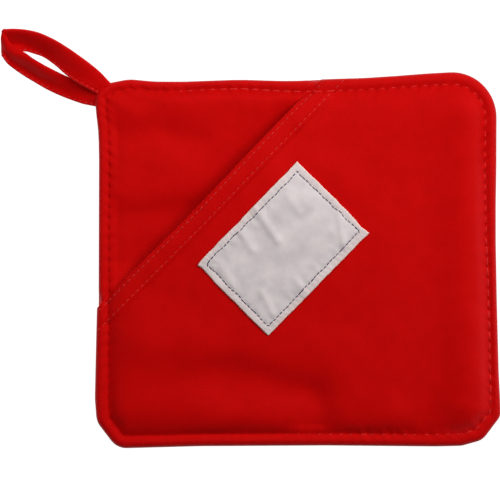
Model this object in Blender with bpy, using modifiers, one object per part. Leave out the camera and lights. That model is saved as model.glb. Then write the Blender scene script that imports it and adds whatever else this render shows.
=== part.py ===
"""Square padded pot holder with a diagonal hand pocket, a sewn-on patch and a hanging loop.

It lies on its back on the surface z = 0, face up: +X is to the right of its face and +Y to the top.
The origin is the middle of its flat back. Sizes are in millimetres, and new_object() turns them to metres.
"""

import math

import bmesh
import bpy
import numpy as np

MM = 0.001
RED = (0.50, 0.004, 0.005)
OFF_WHITE = (0.66, 0.62, 0.65)
COTTON_ROUGHNESS = 0.85

# Outline of the sewn square, anticlockwise from its left side, as corners with a fillet each.
OUTLINE = (
    # x, y, fillet radius
    (-101.1, 57.0, 200.0),
    (-101.2, -19.0, 200.0),
    (-102.3, -69.0, 40.0),
    (-101.4, -80.4, 9.0),
    (-91.6, -93.2, 9.0),
    (-50.0, -92.1, 200.0),
    (15.0, -91.8, 200.0),
    (83.5, -92.4, 12.0),
    (93.4, -89.3, 8.0),
    (102.4, -77.4, 6.0),
    (100.7, -20.0, 200.0),
    (99.9, 25.0, 200.0),
    (100.4, 50.0, 100.0),
    (100.5, 96.9, 23.0),
    (54.0, 95.0, 100.0),
    (6.0, 92.4, 100.0),
    (-30.0, 93.0, 100.0),
    (-58.0, 92.0, 100.0),
    (-73.0, 92.0, 60.0),
    (-86.5, 93.5, 20.0),
    (-95.8, 92.2, 8.0),
    (-102.6, 87.2, 8.0),
    (-103.1, 80.0, 40.0),
    (-101.6, 67.0, 60.0),
)
ARC_STEP = math.radians(8)
RING_POINTS = 104
STRAIGHT_STEP = 9.0
TURN_STEP = math.radians(15)

# Section of the pad from its flat back, round the rim and over the face to the middle.
PAD_SECTION = (
    # inset from the outline, height, share of the rebate that takes the pocket's cloth
    (5.2, 0.0, 0.0),
    (2.7, 0.5, 0.0),
    (1.0, 1.7, 0.0),
    (0.2, 3.1, 0.0),
    (0.0, 4.0, 0.0),
    (0.0, 4.2, 1.0),
    (0.3, 5.6, 1.0),
    (1.3, 6.9, 1.0),
    (2.9, 7.6, 1.0),
    (4.4, 7.4, 1.0),
    (5.5, 6.8, 1.0),
    (6.8, 7.4, 1.0),
    (8.8, 8.2, 1.0),
    (12.5, 8.8, 0.5),
    (19.0, 9.2, 0.0),
    (28.0, 9.5, 0.0),
    (38.0, 9.7, 0.0),
    (50.0, 9.8, 0.0),
    (64.0, 9.9, 0.0),
    (79.0, 9.9, 0.0),
)
SEAM_ROW = 5  # the row just above the edge seam, where the pocket's cloth starts

# Soft hollows in the wadding, each along a bent line.
HOLLOWS = (
    # depth, half width, points of the line
    (0.9, 11.0, ((-56.0, -37.0), (-24.0, -49.0), (1.0, -58.0), (16.0, -68.0), (15.0, -80.0))),
    (0.7, 9.0, ((81.0, -45.0), (81.0, -78.0))),
    (0.6, 10.0, ((-92.0, 73.0), (-64.0, 73.0))),
    (0.5, 10.0, ((-95.0, 30.0), (-70.0, 30.0))),
    (0.5, 11.0, ((14.0, -25.0), (21.0, -26.0))),
)
HOLLOW_FADE = (8.0, 16.0)  # insets between which the hollows fade in

# The hand pocket: its mouth runs from the top edge down to the left edge.
MOUTH_TOP = (8.9, 92.1)
MOUTH_LEFT = (-101.5, -20.4)
CLOTH = 1.2
HEM = 2.0
HEM_WIDTH = 10.8
HEM_RAMP = 2.0
HEM_FADE = (3.0, 9.0)  # insets between which the hem, pressed flat by the seam, gains its full thickness
CLEARANCE = 0.35
POCKET_STEP = 0.8  # how far the pocket's cloth stands outside the pad's outline
REBATE = CLOTH + CLEARANCE - POCKET_STEP  # how far the pad draws in to make room for that cloth
COVER_RAMP = (-4.0, -1.0)  # distances into the pocket between which the pad makes room for it
GAPE = 7.4  # how far the mouth's middle stands off the pad
GAPE_DEPTH = 112.0
GAPE_END = 0.055  # share of the mouth that is sewn down at each end
MOUTH_SAG = 2.0
MOUTH_SAG_AT = 0.64
MOUTH_SAG_SPREAD = 0.17
MOUTH_SAG_FADE = 26.0

# The patch, by its corners.
PATCH_CORNERS = ((-0.3, 52.2), (36.1, 15.5), (-15.1, -37.0), (-51.3, -0.8))
PATCH_THICKNESS = 1.0
PATCH_GAP = 0.4
PATCH_STEPS = (8, 11)

# The loop's strap by its long edges A and B, from its lower end in the seam round the tip to its upper end.
STRAP = (
    # edge A x, y, z, edge B x, y, z
    (-96.7, 77.6, 3.2, -94.2, 88.1, 3.2),
    (-103.3, 79.7, 2.9, -101.0, 90.0, 3.0),
    (-109.7, 81.1, 1.6, -106.9, 91.1, 1.8),
    (-115.8, 83.2, 1.0, -111.9, 92.8, 1.1),
    (-121.9, 85.6, 0.9, -117.9, 95.2, 1.0),
    (-128.0, 88.5, 0.9, -123.2, 97.7, 1.2),
    (-134.1, 92.0, 1.0, -128.8, 100.6, 1.6),
    (-140.2, 95.7, 1.2, -134.6, 104.0, 2.6),
    (-144.8, 98.9, 1.7, -138.6, 106.8, 3.7),
    (-147.9, 101.4, 2.5, -142.0, 108.8, 4.1),
    (-149.2, 103.0, 3.3, -145.8, 111.6, 4.2),
    (-149.9, 104.3, 3.6, -149.2, 116.4, 3.8),
    (-150.3, 105.3, 2.6, -150.6, 118.0, 2.6),
    (-149.6, 105.6, 1.5, -150.0, 118.9, 1.5),
    (-147.6, 106.4, 1.0, -148.2, 119.0, 1.0),
    (-143.8, 107.3, 1.0, -145.0, 119.1, 1.0),
    (-139.0, 107.8, 1.4, -139.0, 118.7, 1.3),
    (-134.9, 106.7, 2.7, -132.6, 117.4, 2.5),
    (-129.5, 104.7, 5.1, -124.3, 113.8, 4.7),
    (-123.4, 100.6, 8.0, -117.3, 109.6, 7.6),
    (-117.3, 96.0, 9.5, -111.1, 105.3, 9.3),
    (-111.0, 91.7, 9.5, -105.4, 101.1, 9.3),
    (-105.4, 88.1, 8.0, -100.0, 96.6, 7.8),
    (-101.5, 85.5, 6.0, -95.7, 92.1, 5.9),
    (-98.7, 83.0, 5.5, -91.1, 88.1, 5.5),
)
STRAP_THICKNESS = 1.6
STRAP_STEPS = 2  # steps of the curve between two rows
STRAP_COLUMNS = 3
SEAT_GAP = 0.3
CUTTER_HEIGHTS = (-2.0, 14.0)


def clear_scene():
    for obj in list(bpy.data.objects):
        bpy.data.objects.remove(obj, do_unlink=True)


def smooth_step(value):
    value = np.clip(value, 0.0, 1.0)
    return value * value * (3.0 - 2.0 * value)


def filleted(corners):
    """Closed line of points round the corners, each with its fillet drawn as an arc."""
    points = np.array([corner[:2] for corner in corners])
    line = []
    for i, (_, _, radius) in enumerate(corners):
        corner = points[i]
        back, ahead = points[i - 1] - corner, points[(i + 1) % len(points)] - corner
        room = 0.499 * min(np.linalg.norm(back), np.linalg.norm(ahead))
        back, ahead = back / np.linalg.norm(back), ahead / np.linalg.norm(ahead)
        half = 0.5 * math.acos(float(np.clip(back @ ahead, -1.0, 1.0)))
        reach = min(radius / math.tan(half), room)
        middle = corner + (back + ahead) / np.linalg.norm(back + ahead) * reach / math.cos(half)
        first, last = corner + back * reach - middle, corner + ahead * reach - middle
        turn = (math.pi - 2.0 * half) * math.copysign(1.0, first[0] * last[1] - first[1] * last[0])
        steps = max(1, math.ceil(abs(turn) / ARC_STEP))
        for step in range(steps + 1):
            c, s = math.cos(turn * step / steps), math.sin(turn * step / steps)
            line.append(middle + (first[0] * c - first[1] * s, first[0] * s + first[1] * c))
    return np.array(line)


def ring_starts(line, count):
    """Points round the line: evenly spaced, but closer round the corners and at the mouth's two ends."""
    closed = np.vstack([line, line[:1]])
    steps = np.diff(closed, axis=0)
    heading = np.unwrap(np.arctan2(steps[:, 1], steps[:, 0]))
    turns = np.abs(np.diff(np.append(heading, heading[0] + math.tau)))
    measure = np.linalg.norm(steps, axis=1) / STRAIGHT_STEP + 0.5 * (turns + np.roll(turns, 1)) / TURN_STEP
    along = np.append(0.0, np.cumsum(measure))
    even = np.arange(count) / count * along[-1]
    at = np.sort(np.append(even, np.interp(mouth_ends(closed), np.arange(len(closed)), along)))
    return np.stack([np.interp(at, along, closed[:, k]) for k in (0, 1)], axis=1)


def mouth_ends(line):
    """Places along the line, counted in its points, between which the pad makes room for the pocket."""
    places = []
    for limit in COVER_RAMP:
        beyond = mouth_frame(line)[1] - limit
        for i in np.nonzero(beyond[:-1] * beyond[1:] < 0.0)[0]:
            places.append(i + beyond[i] / (beyond[i] - beyond[i + 1]))
    return np.array(places)


EDGE = filleted(OUTLINE)


def inset_of(points):
    """How far inside the outline each point lies; below zero outside it."""
    points = np.atleast_2d(points)
    start, step = EDGE, np.roll(EDGE, -1, axis=0) - EDGE
    size = np.maximum((step**2).sum(1), 1e-12)
    away = points[:, None, :] - start[None]
    share = np.clip((away * step).sum(2) / size, 0.0, 1.0)
    off = np.linalg.norm(away - share[:, :, None] * step, axis=2)
    x, y = points[:, :1], points[:, 1:]
    end = start + step
    crosses = (start[:, 1] > y) != (end[:, 1] > y)
    rise = np.where(step[:, 1] == 0.0, 1e-12, step[:, 1])
    inside = (crosses & (x < start[:, 0] + (y - start[:, 1]) * step[:, 0] / rise)).sum(1) % 2 == 1
    return np.where(inside, 1.0, -1.0) * off.min(1)


def ring_at(starts, inset):
    """The ring of points that lie this far inside the outline, each on its way to the middle."""
    low, high = np.full(len(starts), -0.1), np.full(len(starts), 0.97)
    for _ in range(34):
        middle = 0.5 * (low + high)
        short = inset_of(starts * (1.0 - middle)[:, None]) < inset
        low, high = np.where(short, middle, low), np.where(short, high, middle)
    return starts * (1.0 - 0.5 * (low + high))[:, None]


def mouth_axes():
    """The mouth's top end, its length, the direction along it and the direction into the pocket."""
    top, left = np.array(MOUTH_TOP), np.array(MOUTH_LEFT)
    length = float(np.linalg.norm(left - top))
    along = (left - top) / length
    return top, length, along, np.array([-along[1], along[0]])


def mouth_frame(points):
    """Share of the way along the mouth from its top end, and the distance into the pocket from it."""
    top, length, along, inward = mouth_axes()
    away = np.atleast_2d(points) - top
    return away @ along / length, away @ inward


def cover(points):
    """1 where the pocket's cloth lies on the pad and 0 where the pad is bare."""
    bare, covered = COVER_RAMP
    return smooth_step((mouth_frame(points)[1] - bare) / (covered - bare))


def hollow_depth(points, inset):
    """How far the soft hollows sink the face at each point."""
    depth = np.zeros(len(points))
    for deepest, half_width, line in HOLLOWS:
        nearest = np.full(len(points), np.inf)
        for start, end in zip(np.array(line[:-1]), np.array(line[1:])):
            step = end - start
            share = np.clip((points - start) @ step / (step @ step), 0.0, 1.0)
            nearest = np.minimum(nearest, np.linalg.norm(points - start - share[:, None] * step, axis=1))
        depth += deepest * np.exp(-((nearest / half_width) ** 2))
    return depth * smooth_step((inset - HOLLOW_FADE[0]) / (HOLLOW_FADE[1] - HOLLOW_FADE[0]))


def face_height(points):
    """Height of the pad's face, inside its rim, under the pocket."""
    inset = inset_of(points)
    rows = [(row[0] + REBATE * row[2], row[1]) for row in PAD_SECTION[SEAM_ROW:]]
    return np.interp(inset, *zip(*rows)) - hollow_depth(points, inset)


def gape(points):
    """How far the pocket stands off the pad, most at the middle of its mouth."""
    along, into = mouth_frame(points)
    open_share = np.clip((along - GAPE_END) / (1.0 - 2.0 * GAPE_END), 0.0, 1.0)
    depth_share = np.clip(into / GAPE_DEPTH, 0.0, 1.0)
    return GAPE * np.sin(math.pi * open_share) * 0.5 * (1.0 + np.cos(math.pi * depth_share))


def pad_rings(starts, rows, covered):
    """Rings of points (x, y, z) of the given rows of the pad's section."""
    rings = []
    for inset, height, share in rows:
        flat = ring_at(starts, inset)
        laid = np.ones(len(flat)) if covered else cover(flat)
        flat = ring_at(starts, inset + REBATE * share * laid)
        rings.append(np.column_stack([flat, height - hollow_depth(flat, inset_of(flat))]))
    return rings


def lofted(rings):
    """bmesh with quads between the rings and a fan that closes the last one."""
    mesh = bmesh.new()
    rows = [[mesh.verts.new(point) for point in ring] for ring in rings]
    count = len(rings[0])
    for low, high in zip(rows[:-1], rows[1:]):
        for i in range(count):
            j = (i + 1) % count
            mesh.faces.new((low[i], low[j], high[j], high[i]))
    middle = mesh.verts.new((0.0, 0.0, rings[-1][0][2]))
    for i in range(count):
        mesh.faces.new((rows[-1][i], rows[-1][(i + 1) % count], middle))
    return mesh, rows


def cloth_material(name, colour, roughness):
    material = bpy.data.materials.new(name)
    material.use_nodes = True
    shader = material.node_tree.nodes["Principled BSDF"]
    shader.inputs["Base Color"].default_value = (*colour, 1.0)
    shader.inputs["Roughness"].default_value = roughness
    shader.inputs["Metallic"].default_value = 0.0
    return material


def new_object(name, mesh, collection, material=None):
    """Object from a bmesh in millimetres; its mesh is in metres and shaded smooth."""
    bmesh.ops.scale(mesh, vec=(MM, MM, MM), verts=mesh.verts)
    data = bpy.data.meshes.new(name)
    mesh.to_mesh(data)
    mesh.free()
    data.shade_smooth()
    if material:
        data.materials.append(material)
    obj = bpy.data.objects.new(name, data)
    collection.objects.link(obj)
    return obj


def add_solidify(obj, thickness, side):
    """Gives a sheet its thickness: side 1 builds outwards from the surface and 0 to both sides of it."""
    solidify = obj.modifiers.new("cloth", "SOLIDIFY")
    solidify.thickness = thickness * MM
    solidify.offset = side
    solidify.use_even_offset = True
    return solidify


def make_pad(starts, collection):
    """The filled square: flat back, soft rim, sewn channel and low crown."""
    mesh, rows = lofted(pad_rings(starts, PAD_SECTION, covered=False))
    mesh.faces.new(rows[0][::-1])
    return new_object("pad", mesh, collection, cloth_material("pad_cotton", RED, COTTON_ROUGHNESS))


def cut_along_mouth(mesh, into, clear=False):
    """Cuts the mesh on the line this far into the pocket; clear removes what lies outside that line."""
    top, _, _, inward = mouth_axes()
    bmesh.ops.bisect_plane(
        mesh,
        geom=mesh.verts[:] + mesh.edges[:] + mesh.faces[:],
        dist=1e-4,
        plane_co=(*(top + inward * into), 0.0),
        plane_no=(*inward, 0.0),
        clear_inner=clear,
    )


def make_pocket(starts, collection):
    """The pocket's panel: it follows the pad and its rim down to the seam, and gapes along its mouth."""
    rows = list(PAD_SECTION[SEAM_ROW:])
    lowest = rows[0][1] + CLEARANCE
    rows[0] = (rows[0][0], lowest, rows[0][2])
    mesh, _ = lofted(pad_rings(starts, rows, covered=True))
    cut_along_mouth(mesh, 0.0, clear=True)
    cut_along_mouth(mesh, HEM_WIDTH)
    cut_along_mouth(mesh, HEM_WIDTH + HEM_RAMP)
    mesh.normal_update()
    points = np.array([vert.co for vert in mesh.verts])
    normals = np.array([vert.normal for vert in mesh.verts])
    normals[points[:, 2] < lowest + 0.01, 2] = 0.0  # the lower edge stays level above the seam
    along, into = mouth_frame(points[:, :2])
    points += normals * CLEARANCE
    points[:, 2] += gape(points[:, :2])
    inward = mouth_axes()[3]
    sag = MOUTH_SAG * np.exp(-(((along - MOUTH_SAG_AT) / MOUTH_SAG_SPREAD) ** 2))
    sag *= 1.0 - smooth_step(into / MOUTH_SAG_FADE)
    points[:, :2] += inward * sag[:, None]
    for vert, point in zip(mesh.verts, points):
        vert.co = point
    inset = inset_of(points[:, :2])
    weights = smooth_step((inset - HEM_FADE[0]) / (HEM_FADE[1] - HEM_FADE[0]))
    weights *= 1.0 - np.clip((into - HEM_WIDTH) / HEM_RAMP, 0.0, 1.0)
    cotton = cloth_material("pocket_cotton", RED, COTTON_ROUGHNESS)
    pocket = new_object("hand_pocket", mesh, collection, cotton)
    hem = pocket.vertex_groups.new(name="hem")
    for index, weight in enumerate(weights):
        hem.add([index], float(weight), "REPLACE")
    solidify = add_solidify(pocket, HEM, 1.0)
    solidify.vertex_group = "hem"
    solidify.thickness_vertex_group = CLOTH / HEM
    return pocket


def make_patch(collection):
    """The patch: a thin sheet that lies on the pocket."""
    corners = np.array(PATCH_CORNERS)
    mesh = bmesh.new()
    bmesh.ops.create_grid(mesh, x_segments=PATCH_STEPS[0], y_segments=PATCH_STEPS[1], size=0.5)
    for vert in mesh.verts:
        u, v = vert.co.x + 0.5, vert.co.y + 0.5
        upper = corners[0] * (1.0 - u) + corners[1] * u
        lower = corners[3] * (1.0 - u) + corners[2] * u
        point = lower * (1.0 - v) + upper * v
        height = face_height(point[None])[0] + gape(point[None])[0] + CLOTH
        vert.co = (*point, height + CLEARANCE + PATCH_GAP)
    mesh.normal_update()
    cotton = cloth_material("patch_cotton", OFF_WHITE, COTTON_ROUGHNESS)
    patch = new_object("label_patch", mesh, collection, cotton)
    add_solidify(patch, PATCH_THICKNESS, 1.0)
    return patch


def curve_through(rows, steps):
    """Catmull-Rom points through the rows."""
    rows = np.array(rows)
    padded = np.vstack([2.0 * rows[0] - rows[1], rows, 2.0 * rows[-1] - rows[-2]])
    points = []
    for i in range(1, len(padded) - 2):
        a, b, c, d = padded[i - 1 : i + 3]
        for t in np.arange(steps) / steps:
            even = 2.0 * a - 5.0 * b + 4.0 * c - d
            points.append(0.5 * (2.0 * b + (c - a) * t + even * t**2 + (3.0 * b - a - 3.0 * c + d) * t**3))
    points.append(rows[-1])
    return np.array(points)


def make_corner_cutter(starts, collection):
    """Prism a little outside the pad, which trims the strap's ends where they enter the seam."""
    mesh = bmesh.new()
    low, high = CUTTER_HEIGHTS
    face = mesh.faces.new([mesh.verts.new((*point, low)) for point in ring_at(starts, -SEAT_GAP)])
    raised = bmesh.ops.extrude_face_region(mesh, geom=[face])["geom"]
    for item in raised:
        if isinstance(item, bmesh.types.BMVert):
            item.co.z = high
    bmesh.ops.recalc_face_normals(mesh, faces=mesh.faces)
    cutter = new_object("corner_cutter", mesh, collection)
    cutter.hide_render = True
    cutter.display_type = "WIRE"
    return cutter


def make_loop(cutter, collection):
    """The hanging loop: a strap doubled back at its tip, with both ends in the corner seam."""
    mesh = bmesh.new()
    rows = []
    for station in curve_through(STRAP, STRAP_STEPS):
        a, b = station[:3], station[3:]
        rows.append([mesh.verts.new(a + (b - a) * k / STRAP_COLUMNS) for k in range(STRAP_COLUMNS + 1)])
    for first, second in zip(rows[:-1], rows[1:]):
        for k in range(STRAP_COLUMNS):
            mesh.faces.new((first[k], first[k + 1], second[k + 1], second[k]))
    loop = new_object("hanging_loop", mesh, collection, cloth_material("strap_cotton", RED, COTTON_ROUGHNESS))
    add_solidify(loop, STRAP_THICKNESS, 0.0)
    trim = loop.modifiers.new("corner_seam", "BOOLEAN")
    trim.operation = "DIFFERENCE"
    trim.solver = "EXACT"
    trim.object = cutter
    return loop


def new_collection(name):
    collection = bpy.data.collections.new(name)
    bpy.context.scene.collection.children.link(collection)
    return collection


def main():
    clear_scene()
    pieces = new_collection("pot_holder")
    cutters = new_collection("cutters")
    starts = ring_starts(EDGE, RING_POINTS)
    whole = bpy.data.objects.new("pot_holder_origin", None)
    pieces.objects.link(whole)
    cutter = make_corner_cutter(starts, cutters)
    for piece in (
        make_pad(starts, pieces),
        make_pocket(starts, pieces),
        make_patch(pieces),
        make_loop(cutter, pieces),
    ):
        piece.parent = whole


main()
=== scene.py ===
"""Looks of the padded pot holder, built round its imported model.

The quilted square, the hand pocket, the sewn-on patch and the hanging loop each stand for their plain solid,
and all of the thread is sewn here. Sizes are millimetres in the model's own axes (+X right and +Y up on its
face, +Z away from the surface that it lies on); meshes are written in metres.
"""

import logging
import math
from collections.abc import Callable
from dataclasses import dataclass
from enum import Enum
from functools import cached_property, partial

import bmesh
import bpy
import numpy as np
from bmesh.types import BMesh
from bpy.types import Material, Mesh, Node, NodeSocket, NodeTree, Object
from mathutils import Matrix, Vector
from mathutils.bvhtree import BVHTree


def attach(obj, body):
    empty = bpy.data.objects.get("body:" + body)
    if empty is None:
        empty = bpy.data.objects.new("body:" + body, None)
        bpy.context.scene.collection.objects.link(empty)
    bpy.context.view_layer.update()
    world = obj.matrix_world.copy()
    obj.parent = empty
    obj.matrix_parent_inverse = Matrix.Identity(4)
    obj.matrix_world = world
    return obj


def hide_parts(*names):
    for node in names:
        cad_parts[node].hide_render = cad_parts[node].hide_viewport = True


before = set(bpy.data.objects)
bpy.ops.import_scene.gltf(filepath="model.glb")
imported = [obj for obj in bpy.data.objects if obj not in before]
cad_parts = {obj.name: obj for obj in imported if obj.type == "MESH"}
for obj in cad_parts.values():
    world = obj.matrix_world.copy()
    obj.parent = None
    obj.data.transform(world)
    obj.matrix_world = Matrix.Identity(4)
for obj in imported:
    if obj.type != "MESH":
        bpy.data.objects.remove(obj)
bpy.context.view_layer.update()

MM = 0.001
UV_MM = 0.01  # UV units per millimetre, so that 1 UV unit is 100 mm of cloth
CLEAR = 0.1  # height in metres, above or below, from which rays start clear of every piece
BODY = "root"

log = logging.getLogger("pot_holder")

Array = np.ndarray


def smooth_step(value: Array) -> Array:
    """0 below 0, 1 above 1 and an S-shaped rise between them."""
    value = np.clip(value, 0.0, 1.0)
    return value * value * (3.0 - 2.0 * value)


def fade(value: Array) -> Array:
    """1 below 0, 0 above 1 and an S-shaped fall between them."""
    return 1.0 - smooth_step(value)


def bell(distance: Array, width: float) -> Array:
    """1 at distance 0, fading to nothing over about twice the width on both sides."""
    return np.exp(-((distance / width) ** 2))


def lengths(vectors: Array) -> Array:
    """Length of each row."""
    return np.linalg.norm(vectors, axis=-1)


def unit(vectors: Array) -> Array:
    """Each row at length 1."""
    return vectors / np.maximum(lengths(vectors), 1e-12)[..., None]


def chord_lengths(rows: Array) -> Array:
    """Distance along the line through the rows, from its first row to each of them."""
    return np.append(0.0, np.cumsum(lengths(np.diff(rows, axis=0))))


def smooth_curve(rows: Array, along: Array, wanted: Array) -> Array:
    """Smooth curve through a table of rows.

    Args:
        rows: One row of numbers for each point of the table.
        along: Place of each row along the curve, rising.
        wanted: Places at which the curve is read.

    Returns:
        One row of numbers for each wanted place.
    """
    steps = np.diff(along)
    slopes = np.diff(rows, axis=0) / steps[:, None]
    before, after = steps[:-1, None], steps[1:, None]
    inner = (slopes[:-1] * after + slopes[1:] * before) / (before + after)
    tangents = np.vstack([slopes[:1], inner, slopes[-1:]])
    i = np.clip(np.searchsorted(along, wanted, side="right") - 1, 0, len(steps) - 1)
    step = steps[i][:, None]
    t = ((wanted - along[i]) / steps[i])[:, None]
    start, end = rows[i], rows[i + 1]
    leave, arrive = tangents[i] * step, tangents[i + 1] * step
    return (
        (2 * t**3 - 3 * t**2 + 1) * start
        + (t**3 - 2 * t**2 + t) * leave
        + (3 * t**2 - 2 * t**3) * end
        + (t**3 - t**2) * arrive
    )


def waves(points: Array, length: float, seed: int, count: int = 16) -> Array:
    """Soft irregular waves over a plane, made of many plane waves.

    Args:
        points: Places in the plane, one row each.
        length: Usual wavelength, in the points' unit.
        seed: Fixes the pattern.
        count: How many plane waves are added up.

    Returns:
        A height for each point, mostly between -1 and 1.
    """
    rng = np.random.default_rng(seed)
    turn, shift = rng.uniform(0.0, math.tau, (2, count))
    size = math.tau / (length * rng.uniform(0.7, 1.6, count))
    phase = points[:, :2] @ (np.stack([np.cos(turn), np.sin(turn)]) * size) + shift
    return np.sin(phase).sum(1) / math.sqrt(count)


def line_offset(points: Array, line: Array) -> tuple[Array, Array]:
    """How far points lie from an open line, and on which side of it.

    Args:
        points: Places in the plane.
        line: The line's corners, in order.

    Returns:
        Each point's distance from the nearest place on the line, and its side: from -1 on the right of the
        line's way to 1 on its left, and between them beyond its ends.
    """
    nearest, side = np.full(len(points), np.inf), np.zeros(len(points))
    for start, end in zip(line[:-1], line[1:]):
        step = end - start
        share = np.clip((points - start) @ step / (step @ step), 0.0, 1.0)
        away = points - start - share[:, None] * step
        distance = lengths(away)
        left = step[0] * away[:, 1] - step[1] * away[:, 0]
        left = left / np.maximum(distance * np.linalg.norm(step), 1e-9)
        side = np.where(distance < nearest, left, side)
        nearest = np.minimum(nearest, distance)
    return nearest, side


def new_object(name: str, mesh: Mesh) -> Object:
    """Object at the origin that shows the mesh."""
    obj = bpy.data.objects.new(name, mesh)
    bpy.context.scene.collection.objects.link(obj)
    return obj


def mesh_from(name: str, points: Array, faces: list, uv: Array | None = None) -> Mesh:
    """Mesh in metres from points in millimetres.

    Args:
        name: The mesh's name.
        points: One row (x, y, z) for each vertex.
        faces: Tuples of vertex numbers, anticlockwise seen from outside.
        uv: UV of every face corner in turn, in millimetres of cloth.

    Returns:
        The mesh, shaded smooth.
    """
    mesh = bpy.data.meshes.new(name)
    mesh.from_pydata((points * MM).tolist(), [], faces)
    if uv is not None:
        layer = mesh.uv_layers.new(name="UVMap")
        layer.data.foreach_set("uv", (uv * UV_MM).astype(np.float32).ravel())
    mesh.shade_smooth()
    return mesh


def layer_values(mesh: BMesh, layers: dict) -> dict[str, Array]:
    """Each layer's number at every vertex."""
    return {name: np.array([vert[layer] for vert in mesh.verts]) for name, layer in layers.items()}


def set_attributes(mesh: Mesh, **values: Array) -> None:
    """Writes one number for each vertex under each name, which the cloth's finish reads."""
    for name, numbers in values.items():
        attribute = mesh.attributes.new(name, "FLOAT", "POINT")
        attribute.data.foreach_set("value", numbers.astype(np.float32))


def settle(obj: Object) -> None:
    """Turns the object's modifiers into plain mesh."""
    graph = bpy.context.evaluated_depsgraph_get()
    shown = obj.evaluated_get(graph)
    mesh = bpy.data.meshes.new_from_object(shown, preserve_all_data_layers=True, depsgraph=graph)
    obj.modifiers.clear()
    obj.data = mesh


def thicken(obj: Object, cloth: float) -> None:
    """Gives a sheet its cloth's thickness, half on each side."""
    solidify = obj.modifiers.new("cloth", "SOLIDIFY")
    solidify.thickness = cloth * MM
    solidify.offset = 0.0
    settle(obj)


def grid_faces(rows: int, columns: int, closed: bool = False) -> list:
    """Quads of a grid of vertices that are numbered row by row.

    Args:
        rows: Number of rows.
        columns: Number of vertices in a row.
        closed: True if each row is a ring.

    Returns:
        Tuples of four vertex numbers.
    """
    low = np.arange(rows - 1)[:, None] * columns
    i = np.arange(columns if closed else columns - 1)[None]
    j = (i + 1) % columns
    quads = np.stack([low + i, low + j, low + columns + j, low + columns + i], axis=-1)
    return [tuple(quad) for quad in quads.reshape(-1, 4).tolist()]


class Surface:
    """Finished meshes that thread and patch are laid on."""

    def __init__(self, *objects: Object) -> None:
        """Keeps a search tree of each object's faces."""
        graph = bpy.context.evaluated_depsgraph_get()
        self.trees = [BVHTree.FromObject(obj, graph) for obj in objects]

    def drop(self, points: Array, from_above: bool = True) -> tuple[Array, Array, Array]:
        """Drops points straight onto the first surface that they meet.

        Args:
            points: Places (x, y) in millimetres.
            from_above: False to come from under the object.

        Returns:
            The places (x, y, z), the surface's normals there, and which points met a surface.
        """
        side = 1.0 if from_above else -1.0
        ray = Vector((0.0, 0.0, -side))
        places, normals = np.zeros((len(points), 3)), np.zeros((len(points), 3))
        met = np.zeros(len(points), bool)
        for i, (x, y) in enumerate(points[:, :2] * MM):
            start = Vector((x, y, side * CLEAR))
            hits = [tree.ray_cast(start, ray) for tree in self.trees]
            hits = [hit for hit in hits if hit[0] is not None]
            if hits:
                place, normal = min(hits, key=lambda hit: hit[3])[:2]
                places[i], normals[i], met[i] = place / MM, normal, True
        return places, normals, met


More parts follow.
